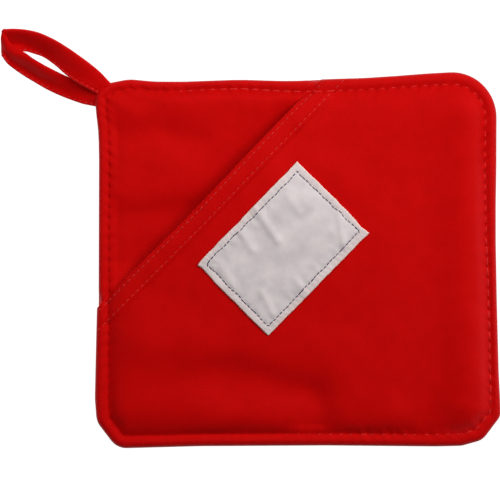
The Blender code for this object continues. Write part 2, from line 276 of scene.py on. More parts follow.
@dataclass(frozen=True)
class Outline:
    """The square's sewn edge seen from above, and how far inside it things lie."""

    corners: tuple = (
        # x, y, fillet radius, anticlockwise from the left side
        (-101.2, 57.0, 200.0), (-101.4, -19.0, 200.0), (-102.5, -69.0, 40.0), (-101.6, -80.4, 9.0),
        (-91.6, -93.5, 9.0), (-50.0, -92.35, 200.0), (15.0, -92.0, 200.0), (70.0, -92.5, 100.0),
        (83.0, -92.2, 12.0), (93.4, -89.3, 8.0), (102.4, -77.4, 6.0), (101.3, -56.0, 100.0),
        (100.35, -20.0, 200.0), (99.8, 10.0, 200.0), (99.8, 30.0, 200.0), (100.1, 50.0, 60.0),
        (100.2, 83.4, 23.0), (86.7, 96.7, 23.0), (66.0, 95.6, 60.0), (50.0, 94.35, 100.0),
        (32.0, 93.2, 100.0), (10.0, 93.2, 40.0), (1.0, 92.7, 40.0), (-8.0, 92.6, 100.0),
        (-30.0, 93.25, 100.0), (-58.0, 92.25, 100.0), (-73.0, 92.3, 60.0), (-86.0, 93.5, 20.0),
        (-95.8, 91.6, 8.0), (-102.6, 87.0, 8.0), (-103.1, 80.0, 40.0), (-101.6, 67.0, 60.0),
    )
    fillet_share: float = 0.499  # most of a side that one fillet takes
    arc_step: float = math.radians(4.0)
    chunk: int = 4000  # points measured at a time

    @cached_property
    def line(self) -> Array:
        """Closed line of points round the corners, each with its fillet drawn as an arc."""
        points = np.array([corner[:2] for corner in self.corners])
        line = []
        for i, (_, _, radius) in enumerate(self.corners):
            corner = points[i]
            back, ahead = points[i - 1] - corner, points[(i + 1) % len(points)] - corner
            room = self.fillet_share * min(lengths(back), lengths(ahead))
            back, ahead = unit(back), unit(ahead)
            half = 0.5 * math.acos(float(np.clip(back @ ahead, -1.0, 1.0)))
            reach = min(radius / math.tan(half), room)
            middle = corner + unit(back + ahead) * reach / math.cos(half)
            first, last = corner + back * reach - middle, corner + ahead * reach - middle
            turn = (math.pi - 2.0 * half) * math.copysign(1.0, first[0] * last[1] - first[1] * last[0])
            steps = max(1, math.ceil(abs(turn) / self.arc_step))
            for step in range(steps + 1):
                c, s = math.cos(turn * step / steps), math.sin(turn * step / steps)
                line.append(middle + (first[0] * c - first[1] * s, first[0] * s + first[1] * c))
        return np.array(line)

    def evenly(self, count: int) -> Array:
        """Points along the line at even distances."""
        closed = np.vstack([self.line, self.line[:1]])
        along = chord_lengths(closed)
        at = np.arange(count) / count * along[-1]
        return np.stack([np.interp(at, along, closed[:, k]) for k in (0, 1)], axis=1)

    def inset(self, points: Array) -> Array:
        """How far inside the outline each point lies; below zero outside it."""
        start = self.line
        step = np.roll(start, -1, axis=0) - start
        size = np.maximum((step**2).sum(1), 1e-12)
        end = start + step
        rise = np.where(step[:, 1] == 0.0, 1e-12, step[:, 1])
        found = []
        for part in np.array_split(points[:, :2], max(1, len(points) // self.chunk)):
            away = part[:, None, :] - start[None]
            share = np.clip((away * step).sum(2) / size, 0.0, 1.0)
            off = lengths(away - share[:, :, None] * step).min(1)
            x, y = part[:, :1], part[:, 1:]
            crosses = (start[:, 1] > y) != (end[:, 1] > y)
            inside = (crosses & (x < start[:, 0] + (y - start[:, 1]) * step[:, 0] / rise)).sum(1) % 2 == 1
            found.append(np.where(inside, off, -off))
        return np.concatenate(found)


class Rays:
    """Lines from points along the outline to the middle, on which rings of any inset are found."""

    # shares of a ray at which its inset is measured, closer together near the outline
    shares = np.append(np.linspace(-0.03, 0.14, 36, endpoint=False), np.linspace(0.14, 0.985, 44))

    def __init__(self, outline: Outline, columns: int) -> None:
        """Measures the inset along every ray once."""
        self.starts = outline.evenly(columns)
        points = self.starts[:, None, :] * (1.0 - self.shares)[None, :, None]
        self.insets = outline.inset(points.reshape(-1, 2)).reshape(columns, -1)
        self.insets = np.maximum.accumulate(self.insets, axis=1)
        self.drift = QUILT.drift(self.starts)
        self.seam = self.row(QUILT.seam_inset)
        along = chord_lengths(np.vstack([self.seam, self.seam[:1]]))
        length = float(along[-1])
        self.stitches = round(length / QUILT.stitch_pitch)
        self.phase = math.tau * along[:-1] / length * self.stitches

    def row(self, inset: float, extra: Array | float = 0.0) -> Array:
        """The ring of a section's row, moved with the seam's own wandering and by the extra inset."""
        return self.ring(inset + self.drift * QUILT.follows(inset) + extra * np.ones(len(self.starts)))

    def ring(self, inset: Array) -> Array:
        """The point of each ray that lies this far inside the outline."""
        last = len(self.shares) - 2
        i = np.clip((self.insets <= inset[:, None]).sum(1) - 1, 0, last)
        row = np.arange(len(inset))
        low, high = self.insets[row, i], self.insets[row, i + 1]
        part = np.clip((inset - low) / np.maximum(high - low, 1e-9), -0.5, 1.0)
        share = self.shares[i] + part * (self.shares[i + 1] - self.shares[i])
        return self.starts * (1.0 - share)[:, None]


@dataclass(frozen=True)
class Mouth:
    """The pocket's mouth, a straight slant from the top edge to the left edge."""

    top: tuple[float, float] = (8.9, 92.1)
    left: tuple[float, float] = (-101.5, -20.4)

    @property
    def length(self) -> float:
        """Length of the mouth."""
        return math.dist(self.top, self.left)

    @property
    def way(self) -> Array:
        """Direction along the mouth, from its top end to its left end."""
        return unit(np.subtract(self.left, self.top))

    @property
    def inward(self) -> Array:
        """Direction into the pocket."""
        return np.array([-self.way[1], self.way[0]])

    def place(self, points: Array) -> tuple[Array, Array]:
        """Distance along the mouth from its top end, and distance into the pocket, of each point."""
        away = points[:, :2] - self.top
        return away @ self.way, away @ self.inward

    def point(self, along: Array, into: Array) -> Array:
        """The points at these distances along the mouth and into the pocket."""
        return self.top + along[:, None] * self.way + into[:, None] * self.inward


@dataclass(frozen=True)
class Quilt:
    """Section, hollows and gathers of the padded square."""

    seam_inset: float = 5.5  # the topstitched channel, before its own wandering
    seam_places: tuple = (
        # x, y, true inset of the topstitching there, how much its channel is filled, how deep its thread is
        # drawn into the cloth, how much its needle holes show, as dents and painted shade: anticlockwise from
        # the right
        (100.0, 15.0, 4.25, -0.35, 0.1, 0.55), (100.0, 35.0, 4.6, -0.45, 0.15, 0.55),
        (100.0, 55.0, 5.1, -0.45, 0.2, 0.6), (100.0, 75.0, 4.9, -0.3, 0.2, 0.55),
        (91.0, 91.0, 5.4, 0.15, 0.15, 0.4), (72.0, 95.0, 5.45, 0.2, 0.2, 0.35),
        (52.0, 94.0, 5.2, 0.2, 0.2, 0.35), (32.0, 93.0, 5.25, 0.15, 0.2, 0.35),
        (12.0, 92.0, 6.1, 0.1, 0.1, 0.3), (-8.0, 92.0, 5.25, 0.0, 0.0, 0.25),
        (-28.0, 92.0, 4.75, 0.0, 0.05, 0.2), (-48.0, 92.0, 4.55, 0.0, 0.1, 0.15),
        (-68.0, 92.0, 5.0, 0.0, 0.26, 0.12), (-92.0, 90.0, 5.0, 0.0, 0.34, 0.25),
        (-101.0, 70.0, 5.0, 0.0, 0.32, 0.3), (-101.0, 45.0, 4.8, 0.1, 0.32, 0.35),
        (-101.0, -8.0, 4.9, 0.1, 0.32, 0.35), (-101.0, -48.0, 5.3, 0.0, 0.34, 0.35),
        (-102.0, -68.0, 5.9, 0.0, 0.37, 0.25), (-96.0, -86.0, 5.5, 0.1, 0.37, 0.15),
        (-70.0, -92.0, 5.2, -0.35, 0.34, 0.1), (10.0, -92.0, 5.2, -0.35, 0.24, 0.08),
        (30.0, -92.0, 5.2, -0.1, 0.2, 0.1), (55.0, -92.0, 5.25, 0.05, 0.2, 0.1),
        (80.0, -92.0, 5.4, 0.45, 0.2, 0.15), (97.0, -84.0, 5.2, 0.2, 0.1, 0.35),
        (102.0, -65.0, 3.8, -0.1, 0.0, 0.5), (101.0, -35.0, 3.5, -0.2, 0.0, 0.5),
        (100.0, -5.0, 3.75, -0.25, 0.0, 0.55),
    )
    face_rows: tuple = (
        # inset, height and, if any, share of the rebate under the pocket's cloth: from the edge seam inwards
        (0.45, 4.05), (0.05, 4.45, 0.6), (0.0, 5.0, 1.0), (0.2, 5.8, 1.0), (0.65, 6.5, 0.9),
        (1.3, 6.95, 0.7), (2.1, 7.2, 0.4), (3.0, 7.22), (3.9, 7.08), (4.7, 6.85), (5.5, 6.65), (6.3, 6.88),
        (7.3, 7.22), (8.5, 7.58), (10.2, 7.95), (12.8, 8.33), (16.5, 8.65), (21.0, 8.88), (28.0, 9.13),
        (38.0, 9.45), (50.0, 9.65), (64.0, 9.8), (86.0, 9.9),
    )
    back_rows: tuple = (
        # inset, height: from the middle of the back to the edge seam
        (86.0, 0.0), (64.0, 0.0), (40.0, 0.0), (24.0, 0.0), (14.0, 0.0), (9.0, 0.02), (7.2, 0.15),
        (6.2, 0.45), (5.5, 0.75), (4.8, 0.5), (3.9, 0.35), (2.7, 0.6), (1.5, 1.3), (0.6, 2.3), (0.1, 3.3),
        (0.05, 3.75), (0.45, 4.0),
    )
    hollows: tuple = (
        # depth (below 0 for a ridge), half widths on the left and on the right of the line, the line's points
        (
            2.2, 8.5, 15.0,
            (
                (-33.0, -56.5), (-20.0, -58.5), (-10.0, -61.8), (0.5, -65.0), (6.3, -66.8), (8.6, -70.0),
                (9.0, -77.0),
            ),
        ),
        (0.9, 8.5, 15.0, ((-56.0, -54.0), (-42.0, -55.0))),
        (1.2, 9.0, 14.0, ((9.5, -66.0), (9.5, -73.0))),
        (-0.7, 9.0, 7.0, ((-87.0, -76.0), (-50.0, -77.0), (-20.0, -78.5), (4.0, -80.0))),
        (-0.7, 9.0, 7.0, ((14.0, -79.5), (48.0, -79.0))),
        (-1.6, 11.0, 11.5, ((85.0, 74.0), (85.0, 0.0), (85.5, -30.0), (86.5, -72.0))),
        (-0.9, 8.0, 10.0, ((88.0, -32.0), (88.0, -58.0))),
        (0.8, 13.0, 11.0, ((66.0, 60.0), (67.0, -40.0), (67.0, -74.0))),
        (0.9, 5.5, 9.0, ((-104.0, 24.0), (-72.0, 24.5), (-57.0, 28.5))),
        (-0.6, 12.0, 7.0, ((-97.0, 37.0), (-50.0, 38.5))),
        (1.3, 7.0, 9.0, ((-97.0, 65.5), (-68.0, 66.0), (-50.0, 62.0))),
        (1.0, 24.0, 9.0, ((-93.0, 66.0), (-93.0, 2.0))),
        (-1.2, 9.0, 14.0, ((-4.0, 84.0), (-60.0, 84.0))),
        (-1.3, 15.0, 12.0, ((-78.0, -38.0), (-50.0, -43.0))),
        (0.6, 12.0, 11.0, ((12.0, -25.0), (24.0, -27.0))),
        (1.3, 8.0, 10.0, ((-3.0, 61.5), (12.0, 60.0))),
        (1.3, 9.0, 10.0, ((-1.0, 47.0), (22.0, 26.0))),
    )
    channel_width: float = 2.0
    follow_rise: float = 4.5  # inset from which rows follow the seam's wandering in full
    follow_fall: tuple[float, float] = (7.0, 19.0)  # and insets between which they cease to
    hollow_fade: tuple[float, float] = (5.5, 11.0)
    cover_ramp: tuple[float, float] = (-4.0, -1.0)
    rebate: float = 0.75
    stitch_pitch: float = 5.4
    gather: float = 0.12
    gather_spread: float = 3.2
    unrest: float = 0.10  # height of the slight unevenness of the wadding
    pinch_inside: float = 0.5  # how far inside the topstitching its needle holes draw the cloth in, with their painted shade
    pinch_spread: float = 1.0
    rim_rubbed: float = 0.2  # how much the rim is rubbed lighter
    rim_inset: float = 2.0  # where it is rubbed most
    rim_spread: float = 1.2

    def section(self, rows: tuple, fine: float, coarse: float, dense_until: float) -> Array:
        """Smooth section through a table of rows.

        Args:
            rows: Table of inset, height and, if any, share of the rebate.
            fine: Spacing of the samples near the edge.
            coarse: Widest spacing, over the flat middle.
            dense_until: Inset up to which the spacing stays fine.

        Returns:
            One row (inset, height, share) for each sample.
        """
        table = np.array([(*row, 0.0)[:3] for row in rows])
        along = chord_lengths(table[:, :2])
        wanted, at = [], 0.0
        while at < along[-1]:
            wanted.append(at)
            inset = float(np.interp(at, along, table[:, 0]))
            at += fine + (coarse - fine) * float(smooth_step(np.array((inset - dense_until) / 14.0)))
        wanted.append(float(along[-1]))
        found = smooth_curve(table, along, np.array(wanted))
        found[:, 2] = np.clip(found[:, 2], 0.0, 1.0)
        return found

    def beside(self, points: Array, column: int) -> Array:
        """A column of the seam's table beside each point."""
        places = np.array(self.seam_places)
        turn = np.unwrap(np.arctan2(places[:, 1], places[:, 0]))
        own = np.mod(np.arctan2(points[:, 1], points[:, 0]) - turn[0], math.tau) + turn[0]
        values = np.append(places[:, column], places[0, column])
        return np.interp(own, np.append(turn, turn[0] + math.tau), values)

    def drift(self, points: Array) -> Array:
        """How much further inside than usual the topstitching runs, beside each point of the outline."""
        return self.beside(points, 2) - self.seam_inset

    def filling(self, points: Array, inset: Array | float) -> Array:
        """How much higher than usual the channel lies, where its thread is looser."""
        return self.beside(points, 3) * bell(np.asarray(inset) - self.seam_inset, self.channel_width)

    def follows(self, inset: float) -> float:
        """Share of the seam's wandering that a row of the section follows: all of it only beside the seam."""
        start, end = self.follow_fall
        rising, falling = np.array([inset / self.follow_rise, (inset - start) / (end - start)])
        return float(smooth_step(rising) * fade(falling))

    def inner(self, inset: Array | float) -> Array:
        """0 at the rim and its channel, rising to 1 over the padded field."""
        low, high = self.hollow_fade
        return smooth_step((np.asarray(inset) - low) / (high - low))

    def sunk(self, points: Array) -> Array:
        """How far the soft hollows sink the face at each point."""
        depth = np.zeros(len(points))
        for deepest, left, right, line in self.hollows:
            distance, side = line_offset(points[:, :2], np.array(line))
            depth += deepest * bell(distance, right + (left - right) * 0.5 * (1.0 + side))
        return depth

    def gathers(self, phase: Array, off: Array, points: Array, seed: int) -> Array:
        """Ripples that the topstitching draws in the cloth beside it.

        Args:
            phase: Place along the topstitching, a full turn for each stitch.
            off: Distance from the seam.
            points: Places, which vary the ripples.
            seed: Fixes that variation.

        Returns:
            Height of the ripples at each point.
        """
        strength = 0.75 + 0.55 * waves(points, 24.0, seed)
        slant = phase + 0.7 * waves(points, 15.0, seed + 1)
        ripple = np.cos(slant) * bell(off, self.gather_spread)
        long_ripple = 0.6 * np.cos(0.5 * slant + 1.1) * bell(off - 2.0, 1.6 * self.gather_spread)
        return self.gather * strength * (ripple + long_ripple)

    def pinched(self, phase: Array, inset: Array) -> Array:
        """How much the thread pinches the cloth: 1 at a needle hole between stitches, 0 away from them."""
        # this share places both the needle holes' dents and the painted shade in them
        off = inset - self.seam_inset - self.pinch_inside
        return (0.5 - 0.5 * np.cos(phase)) * bell(off, self.pinch_spread)

    def rim_wear(self, inset: Array) -> Array:
        """How much the round rim is rubbed lighter."""
        return self.rim_rubbed * bell(inset - self.rim_inset, self.rim_spread)


MOUTH = Mouth()
QUILT = Quilt()
OUTLINE = Outline()


def covered(points: Array) -> Array:
    """1 where the pocket's cloth lies on the square and 0 where the square is bare."""
    bare, full = QUILT.cover_ramp
    return smooth_step((MOUTH.place(points)[1] - bare) / (full - bare))


def linear(code: str) -> tuple[float, float, float, float]:
    """Linear colour of an sRGB hex code such as "#c00a0a"."""
    parts = [int(code[i : i + 2], 16) / 255.0 for i in (1, 3, 5)]
    red, green, blue = (c / 12.92 if c <= 0.04045 else ((c + 0.055) / 1.055) ** 2.4 for c in parts)
    return red, green, blue, 1.0


def feed(node: Node, inputs: dict) -> None:
    """Gives a node's sockets, by name or number, their values or the output sockets that feed them."""
    for key, value in inputs.items():
        if isinstance(value, NodeSocket):
            node.id_data.links.new(value, node.inputs[key])
        else:
            node.inputs[key].default_value = value


def add_node(
    tree: NodeTree, kind: str, inputs: dict | None = None, out: int | str | None = 0, **settings: object
) -> NodeSocket | Node:
    """Adds a node with its settings, values and links.

    Args:
        tree: The node tree.
        kind: The node's type, such as "ShaderNodeBump".
        inputs: Socket names or numbers, each with a value or with the output socket that feeds it.
        out: The wanted output socket, by name or number; None for the node itself.
        **settings: Properties of the node.

    Returns:
        The output socket, or the node.
    """
    node = tree.nodes.new(kind)
    for name, value in settings.items():
        setattr(node, name, value)
    feed(node, inputs or {})
    return node if out is None else node.outputs[out]


def new_material(name: str) -> tuple[Material, Node, partial]:
    """A material, its Principled shader, and add_node for its tree."""
    material = bpy.data.materials.new(name)
    material.use_nodes = True
    return material, material.node_tree.nodes["Principled BSDF"], partial(add_node, material.node_tree)


@dataclass(frozen=True)
class CottonTwill:
    """Piece-dyed cotton twill, woven of fine yarn and lightly napped: matt, with a faint slanting rib."""

    name: str = "cotton_twill_red"
    colour: str = "#c00405"
    shade: str = "#b10203"
    # lighter red, where rubbing has lightened the cloth and as a painted highlight on the pocket
    rub_and_highlight: str = "#cf1a1e"
    lint: str = "#e08a80"
    pit: str = "#7a0102"  # in a needle hole, where hardly any light falls
    pit_depth: float = 0.25
    gloss: str = "#ff3e36"
    fuzz: str = "#ff3030"
    yarn: float = 0.62  # yarn spacing in mm; the real 0.4 mm is drawn coarser, so that it shows at all
    rib: float = 1.25  # spacing of the slanting ribs in mm, drawn about a third coarser than real
    fleck_spacing: float = 34.0  # cells in mm, of which some hold a fleck of lint
    relief: float = 0.03
    roughness: float = 0.62
    ior: float = 1.53

    def build(self) -> Material:
        """Makes the material."""
        material, shader, node = new_material(self.name)
        uv = node("ShaderNodeTexCoord", out="UV")
        cloth = node("ShaderNodeVectorMath", {0: uv, "Scale": 1.0 / UV_MM}, operation="SCALE")
        rib = math.tau / (10.0 * math.sqrt(2.0) * self.rib)
        bands = {"Vector": cloth, "Scale": rib, "Distortion": 0.6, "Detail": 1.0, "Detail Scale": 2.0}
        slant = node("ShaderNodeTexWave", bands, "Fac", bands_direction="DIAGONAL")
        bands = {"Vector": cloth, "Scale": math.tau / (20.0 * self.yarn), "Distortion": 0.4, "Detail": 1.0}
        warp, weft = (node("ShaderNodeTexWave", bands, "Fac", bands_direction=axis) for axis in "XY")
        yarns = node("ShaderNodeMath", {0: warp, 1: weft}, operation="MULTIPLY")
        weave = node("ShaderNodeMix", {"Factor": 0.4, "A": slant, "B": yarns}, data_type="FLOAT")
        mottle = {"Vector": cloth, "Scale": 0.09, "Detail": 4.0, "Roughness": 0.65}
        nap = {"Vector": cloth, "Scale": 1.3, "Detail": 3.0, "Roughness": 0.6}
        mottle, nap = (node("ShaderNodeTexNoise", noise, "Fac") for noise in (mottle, nap))
        tone = node("ShaderNodeMapRange", {"Value": mottle, "From Min": 0.3, "From Max": 0.7, "To Max": 0.6})
        grain = node("ShaderNodeMath", {0: weave, 1: -0.25, 2: tone}, operation="MULTIPLY_ADD")
        grain = node("ShaderNodeMath", {0: nap, 1: 0.35, 2: grain}, operation="MULTIPLY_ADD", use_clamp=True)
        wear, pinch, pull = (
            node("ShaderNodeAttribute", out="Fac", attribute_name=name) for name in ("wear", "pinch", "pull")
        )
        lightened = node("ShaderNodeMath", {0: wear, 1: nap}, operation="MULTIPLY", use_clamp=True)
        # needle holes: a real dent in the bump, and a darker pit tone that is painted shade
        hole = {"Value": pinch, "From Min": 0.35, "From Max": 0.85}
        hole = node("ShaderNodeMapRange", hole, interpolation_type="SMOOTHSTEP")
        pit = node("ShaderNodeMath", {0: hole, 1: pull}, operation="MULTIPLY")
        cells = {"Vector": cloth, "Scale": 1.0 / self.fleck_spacing}
        cells = node("ShaderNodeTexVoronoi", cells, None).outputs
        near = {"Value": cells["Distance"], "From Min": 0.016, "From Max": 0.006, "To Max": 0.75}
        chosen = node("ShaderNodeMath", {0: cells["Color"], 1: 0.62}, operation="GREATER_THAN")
        fleck = node("ShaderNodeMath", {0: node("ShaderNodeMapRange", near), 1: chosen}, operation="MULTIPLY")
        colour = linear(self.colour)
        # the lighter red goes where rubbing has lightened the cloth, and on the pocket as a painted highlight
        for share, code in ((grain, self.shade), (lightened, self.rub_and_highlight), (pit, self.pit), (fleck, self.lint)):
            colour = node("ShaderNodeMix", {"Factor": share, 6: colour, 7: linear(code)}, 2, data_type="RGBA")
        height = node("ShaderNodeMath", {0: nap, 1: 0.5, 2: weave}, operation="MULTIPLY_ADD")
        sunk = {0: pit, 1: -self.pit_depth / self.relief, 2: height}
        height = node("ShaderNodeMath", sunk, operation="MULTIPLY_ADD")
        bump = node("ShaderNodeBump", {"Strength": 0.8, "Distance": self.relief * MM, "Height": height})
        rough = {"Value": weave, "To Min": self.roughness + 0.06, "To Max": self.roughness - 0.06}
        feed(
            shader,
            {
                "Base Color": colour,
                "Roughness": node("ShaderNodeMapRange", rough),
                "Normal": bump,
                "IOR": self.ior,
                "Specular IOR Level": 0.5,
                "Specular Tint": linear(self.gloss),
                "Sheen Weight": 0.08,
                "Sheen Roughness": 0.4,
                "Sheen Tint": linear(self.fuzz),
            },
        )
        return material


@dataclass(frozen=True)
class SewingThread:
    """Twisted sewing thread, in plies that wind round each other: slightly brighter than cloth and satiny."""

    name: str
    colour: str
    groove_shade: str
    plies: float = 3.0
    relief: float = 0.05
    roughness: float = 0.6
    specular: float = 0.12

    def build(self) -> Material:
        """Makes the material; the twist follows the thread's own UV (turns round it, and along it)."""
        material, shader, node = new_material(self.name)
        uv = node("ShaderNodeTexCoord", out="UV")
        parts = node("ShaderNodeSeparateXYZ", {0: uv}, None).outputs
        turns = node("ShaderNodeMath", {0: parts[0], 1: self.plies, 2: parts[1]}, operation="MULTIPLY_ADD")
        angle = node("ShaderNodeMath", {0: turns, 1: math.tau}, operation="MULTIPLY")
        ply = node("ShaderNodeMath", {0: angle}, operation="SINE")
        # the grooves between the plies get the darker colour as painted shade, besides their bump
        groove = node("ShaderNodeMapRange", {"Value": ply, "From Min": -1.0, "From Max": 0.2})
        mixed = {"Factor": groove, 6: linear(self.groove_shade), 7: linear(self.colour)}
        colour = node("ShaderNodeMix", mixed, 2, data_type="RGBA")
        bump = node("ShaderNodeBump", {"Strength": 0.6, "Distance": self.relief * MM, "Height": ply})
        feed(shader, {"Base Color": colour, "Normal": bump})
        feed(shader, {"Roughness": self.roughness, "Specular IOR Level": self.specular})
        return material


@dataclass(frozen=True)
class LabelTaffeta:
    """Close-woven white taffeta of a sewn-on patch: pale grey-lilac, with fine ribs and a dull sheen."""

    name: str = "woven_taffeta_white"
    colour: str = "#d6cccc"
    shade: str = "#c6bcbd"
    edge: str = "#f0cfc4"
    rib: float = 0.55  # spacing of the cross ribs in mm, twice the real one so that they show
    relief: float = 0.04
    roughness: float = 0.62

    def build(self) -> Material:
        """Makes the material."""
        material, shader, node = new_material(self.name)
        uv = node("ShaderNodeTexCoord", out="UV")
        cloth = node("ShaderNodeVectorMath", {0: uv, "Scale": 1.0 / UV_MM}, operation="SCALE")
        bands = {"Vector": cloth, "Distortion": 0.5, "Detail": 1.0}
        scale = math.tau / (20.0 * self.rib)
        ribs, ends = (
            node("ShaderNodeTexWave", {**bands, "Scale": scale / share}, "Fac", bands_direction=axis)
            for axis, share in (("Y", 1.0), ("X", 0.6))
        )
        weave = node("ShaderNodeMix", {"Factor": 0.35, "A": ribs, "B": ends}, data_type="FLOAT")
        cloud = node("ShaderNodeTexNoise", {"Vector": cloth, "Scale": 0.11, "Detail": 3.0}, "Fac")
        tone = node("ShaderNodeMapRange", {"Value": cloud, "From Min": 0.35, "From Max": 0.7})
        tone = node("ShaderNodeMath", {0: weave, 1: 0.25, 2: tone}, operation="MULTIPLY_ADD", use_clamp=True)
        rim = node("ShaderNodeAttribute", out="Fac", attribute_name="wear")
        colour = linear(self.colour)
        for share, code in ((tone, self.shade), (rim, self.edge)):
            colour = node("ShaderNodeMix", {"Factor": share, 6: colour, 7: linear(code)}, 2, data_type="RGBA")
        bump = node("ShaderNodeBump", {"Strength": 0.7, "Distance": self.relief * MM, "Height": weave})
        feed(shader, {"Base Color": colour, "Normal": bump, "Roughness": self.roughness})
        feed(shader, {"Specular IOR Level": 0.25, "Sheen Weight": 0.1})
        return material


@dataclass(frozen=True)
class StudioCard:
    """Matt opal sheet of a light table: plain, and lit from below to a white on which no shadow shows."""

    name: str = "opal_sheet_white"
    colour: str = "#606060"
    light: str = "#ffffff"
    glow: float = 1.0

    def build(self) -> Material:
        """Makes the material."""
        material, shader, _ = new_material(self.name)
        feed(shader, {"Base Color": linear(self.colour), "Roughness": 0.95, "Specular IOR Level": 0.1})
        feed(shader, {"Emission Color": linear(self.light), "Emission Strength": self.glow})
        return material


class Finish(Enum):
    """The finishes that the pieces choose from."""

    COTTON = CottonTwill()
    RED_THREAD = SewingThread("cotton_thread_red", "#dc3634", "#ac1214")
    NAVY_THREAD = SewingThread("cotton_thread_navy", "#3c3c5a", "#181830", roughness=0.7, specular=0.3)
    LABEL = LabelTaffeta()

    @property
    def material(self) -> Material:
        """The finish's material, made when it is first asked for."""
        return bpy.data.materials.get(self.value.name) or self.value.build()


@dataclass(frozen=True)
class Seam:
    """One row of machine stitches; a Geometry Nodes tree lays a stitch at every step of a path."""

    name: str
    pitch: float
    thread: float  # diameter of the thread
    finish: Finish
    shown: float = 0.72  # share of the pitch that the thread shows
    rise: float = 0.1  # how far the thread's line stands above the cloth
    seed: int = 1
    sides: int = 6
    bends: int = 6

    def tree(self) -> NodeTree:
        """The node tree, shared by all seams."""
        name = "machine_stitches"
        if name in bpy.data.node_groups:
            return bpy.data.node_groups[name]
        tree = bpy.data.node_groups.new(name, "GeometryNodeTree")
        kinds = {"Path": "Geometry", "Stitches": "Int", "Stitch Length": "Float", "Thread Radius": "Float"}
        kinds |= {"Rise": "Float", "Sides": "Int", "Bends": "Int", "Seed": "Int", "Thread": "Material"}
        for socket, kind in kinds.items():
            tree.interface.new_socket(name=socket, in_out="INPUT", socket_type="NodeSocket" + kind)
        tree.interface.new_socket(name="Stitches", in_out="OUTPUT", socket_type="NodeSocketGeometry")
        node = partial(add_node, tree)
        asked = node("NodeGroupInput", out=None).outputs
        half = node("ShaderNodeMath", {0: asked["Stitch Length"], 1: 0.5}, operation="MULTIPLY")
        back = node("ShaderNodeMath", {0: half, 1: -1.0}, operation="MULTIPLY")
        sunk = node("ShaderNodeMath", {0: asked["Thread Radius"], 1: -1.6}, operation="MULTIPLY")
        high = node("ShaderNodeMath", {0: asked["Rise"], 1: sunk}, operation="SUBTRACT")
        places = ({0: back, 2: sunk}, {2: high}, {0: half, 2: sunk})
        start, middle, end = (node("ShaderNodeCombineXYZ", place) for place in places)
        bend = {"Resolution": asked["Bends"], "Start": start, "Middle": middle, "End": end}
        arch = node("GeometryNodeCurveQuadraticBezier", bend)
        ring = {"Resolution": asked["Sides"], "Radius": asked["Thread Radius"]}
        ring = node("GeometryNodeCurvePrimitiveCircle", ring)
        share = node("GeometryNodeSplineParameter", out="Factor")
        kept = []
        for curve in (arch, ring):
            capture = node("GeometryNodeCaptureAttribute", {0: curve}, None)
            capture.capture_items.new("FLOAT", "Share")
            feed(capture, {"Share": share})
            kept.append(capture.outputs)
        (arch, along), (ring, around) = ((outputs[0], outputs["Share"]) for outputs in kept)
        rod = node("GeometryNodeCurveToMesh", {"Curve": arch, "Profile Curve": ring, "Fill Caps": True})
        uv = node("ShaderNodeCombineXYZ", {0: along, 1: around})
        store = {"Geometry": rod, "Name": "UVMap", "Value": uv}
        stitch = node("GeometryNodeStoreNamedAttribute", store, data_type="FLOAT2", domain="CORNER")
        path = node("GeometryNodeMeshToCurve", {0: asked["Path"]})
        steps = node("GeometryNodeResampleCurve", {"Curve": path, "Count": asked["Stitches"]}, mode="COUNT")
        lie = node("GeometryNodeInputNamedAttribute", {"Name": "lie"}, data_type="FLOAT_VECTOR")
        axes = {"Primary Axis": node("GeometryNodeInputTangent"), "Secondary Axis": lie}
        aim = node("FunctionNodeAxesToRotation", axes, primary_axis="X", secondary_axis="Z")
        sway = ((0.0, -0.03, -0.09), (0.0, 0.03, 0.09))  # least and greatest turn of a stitch, in radians
        scale = ((0.88, 0.9, 0.9), (1.06, 1.1, 1.1))  # its least and greatest size
        draws = [{0: least, 1: most, "Seed": asked["Seed"]} for least, most in (sway, scale)]
        sway, scale = (node("FunctionNodeRandomValue", draw, data_type="FLOAT_VECTOR") for draw in draws)
        turned = {0: aim, 1: node("FunctionNodeEulerToRotation", {0: sway})}
        turned = node("FunctionNodeRotateRotation", turned, rotation_space="LOCAL")
        laid = {"Points": steps, "Instance": stitch, "Rotation": turned, "Scale": scale}
        real = node("GeometryNodeRealizeInstances", {0: node("GeometryNodeInstanceOnPoints", laid)})
        smooth = node("GeometryNodeSetShadeSmooth", {0: real})
        dressed = node("GeometryNodeSetMaterial", {"Geometry": smooth, "Material": asked["Thread"]})
        node("NodeGroupOutput", {0: dressed}, None)
        return tree

    def sew(self, path: Array, lie: Array, closed: bool = False, stitches: int = 0) -> Object:
        """Sews the row.

        Args:
            path: Places (x, y, z) of the row on the cloth.
            lie: The cloth's outward direction at each of them.
            closed: True if the row meets its own start.
            stitches: Their number, if the pitch doesn't settle it.

        Returns:
            The stitches as one plain mesh.
        """
        count = len(path)
        edges = [(i, i + 1) for i in range(count - 1)] + ([(count - 1, 0)] if closed else [])
        line = bpy.data.meshes.new(self.name + "_path")
        line.from_pydata((path * MM).tolist(), edges, [])
        outward = line.attributes.new("lie", "FLOAT_VECTOR", "POINT")
        outward.data.foreach_set("vector", lie.astype(np.float32).ravel())
        obj = new_object(self.name, line)
        length = chord_lengths(np.vstack([path, path[:1]]) if closed else path)[-1]
        modifier = obj.modifiers.new("stitches", "NODES")
        modifier.node_group = self.tree()
        values = {
            "Stitches": stitches or max(2, round(length / self.pitch)) + (not closed),
            "Stitch Length": self.pitch * self.shown * MM,
            "Thread Radius": 0.5 * self.thread * MM,
            "Rise": self.rise * MM,
            "Sides": self.sides,
            "Bends": self.bends,
            "Seed": self.seed,
            "Thread": self.finish.material,
        }
        for item in modifier.node_group.interface.items_tree:
            if item.in_out == "INPUT" and item.name in values:
                modifier[item.identifier] = values[item.name]
        settle(obj)
        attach(obj, BODY)
        return obj


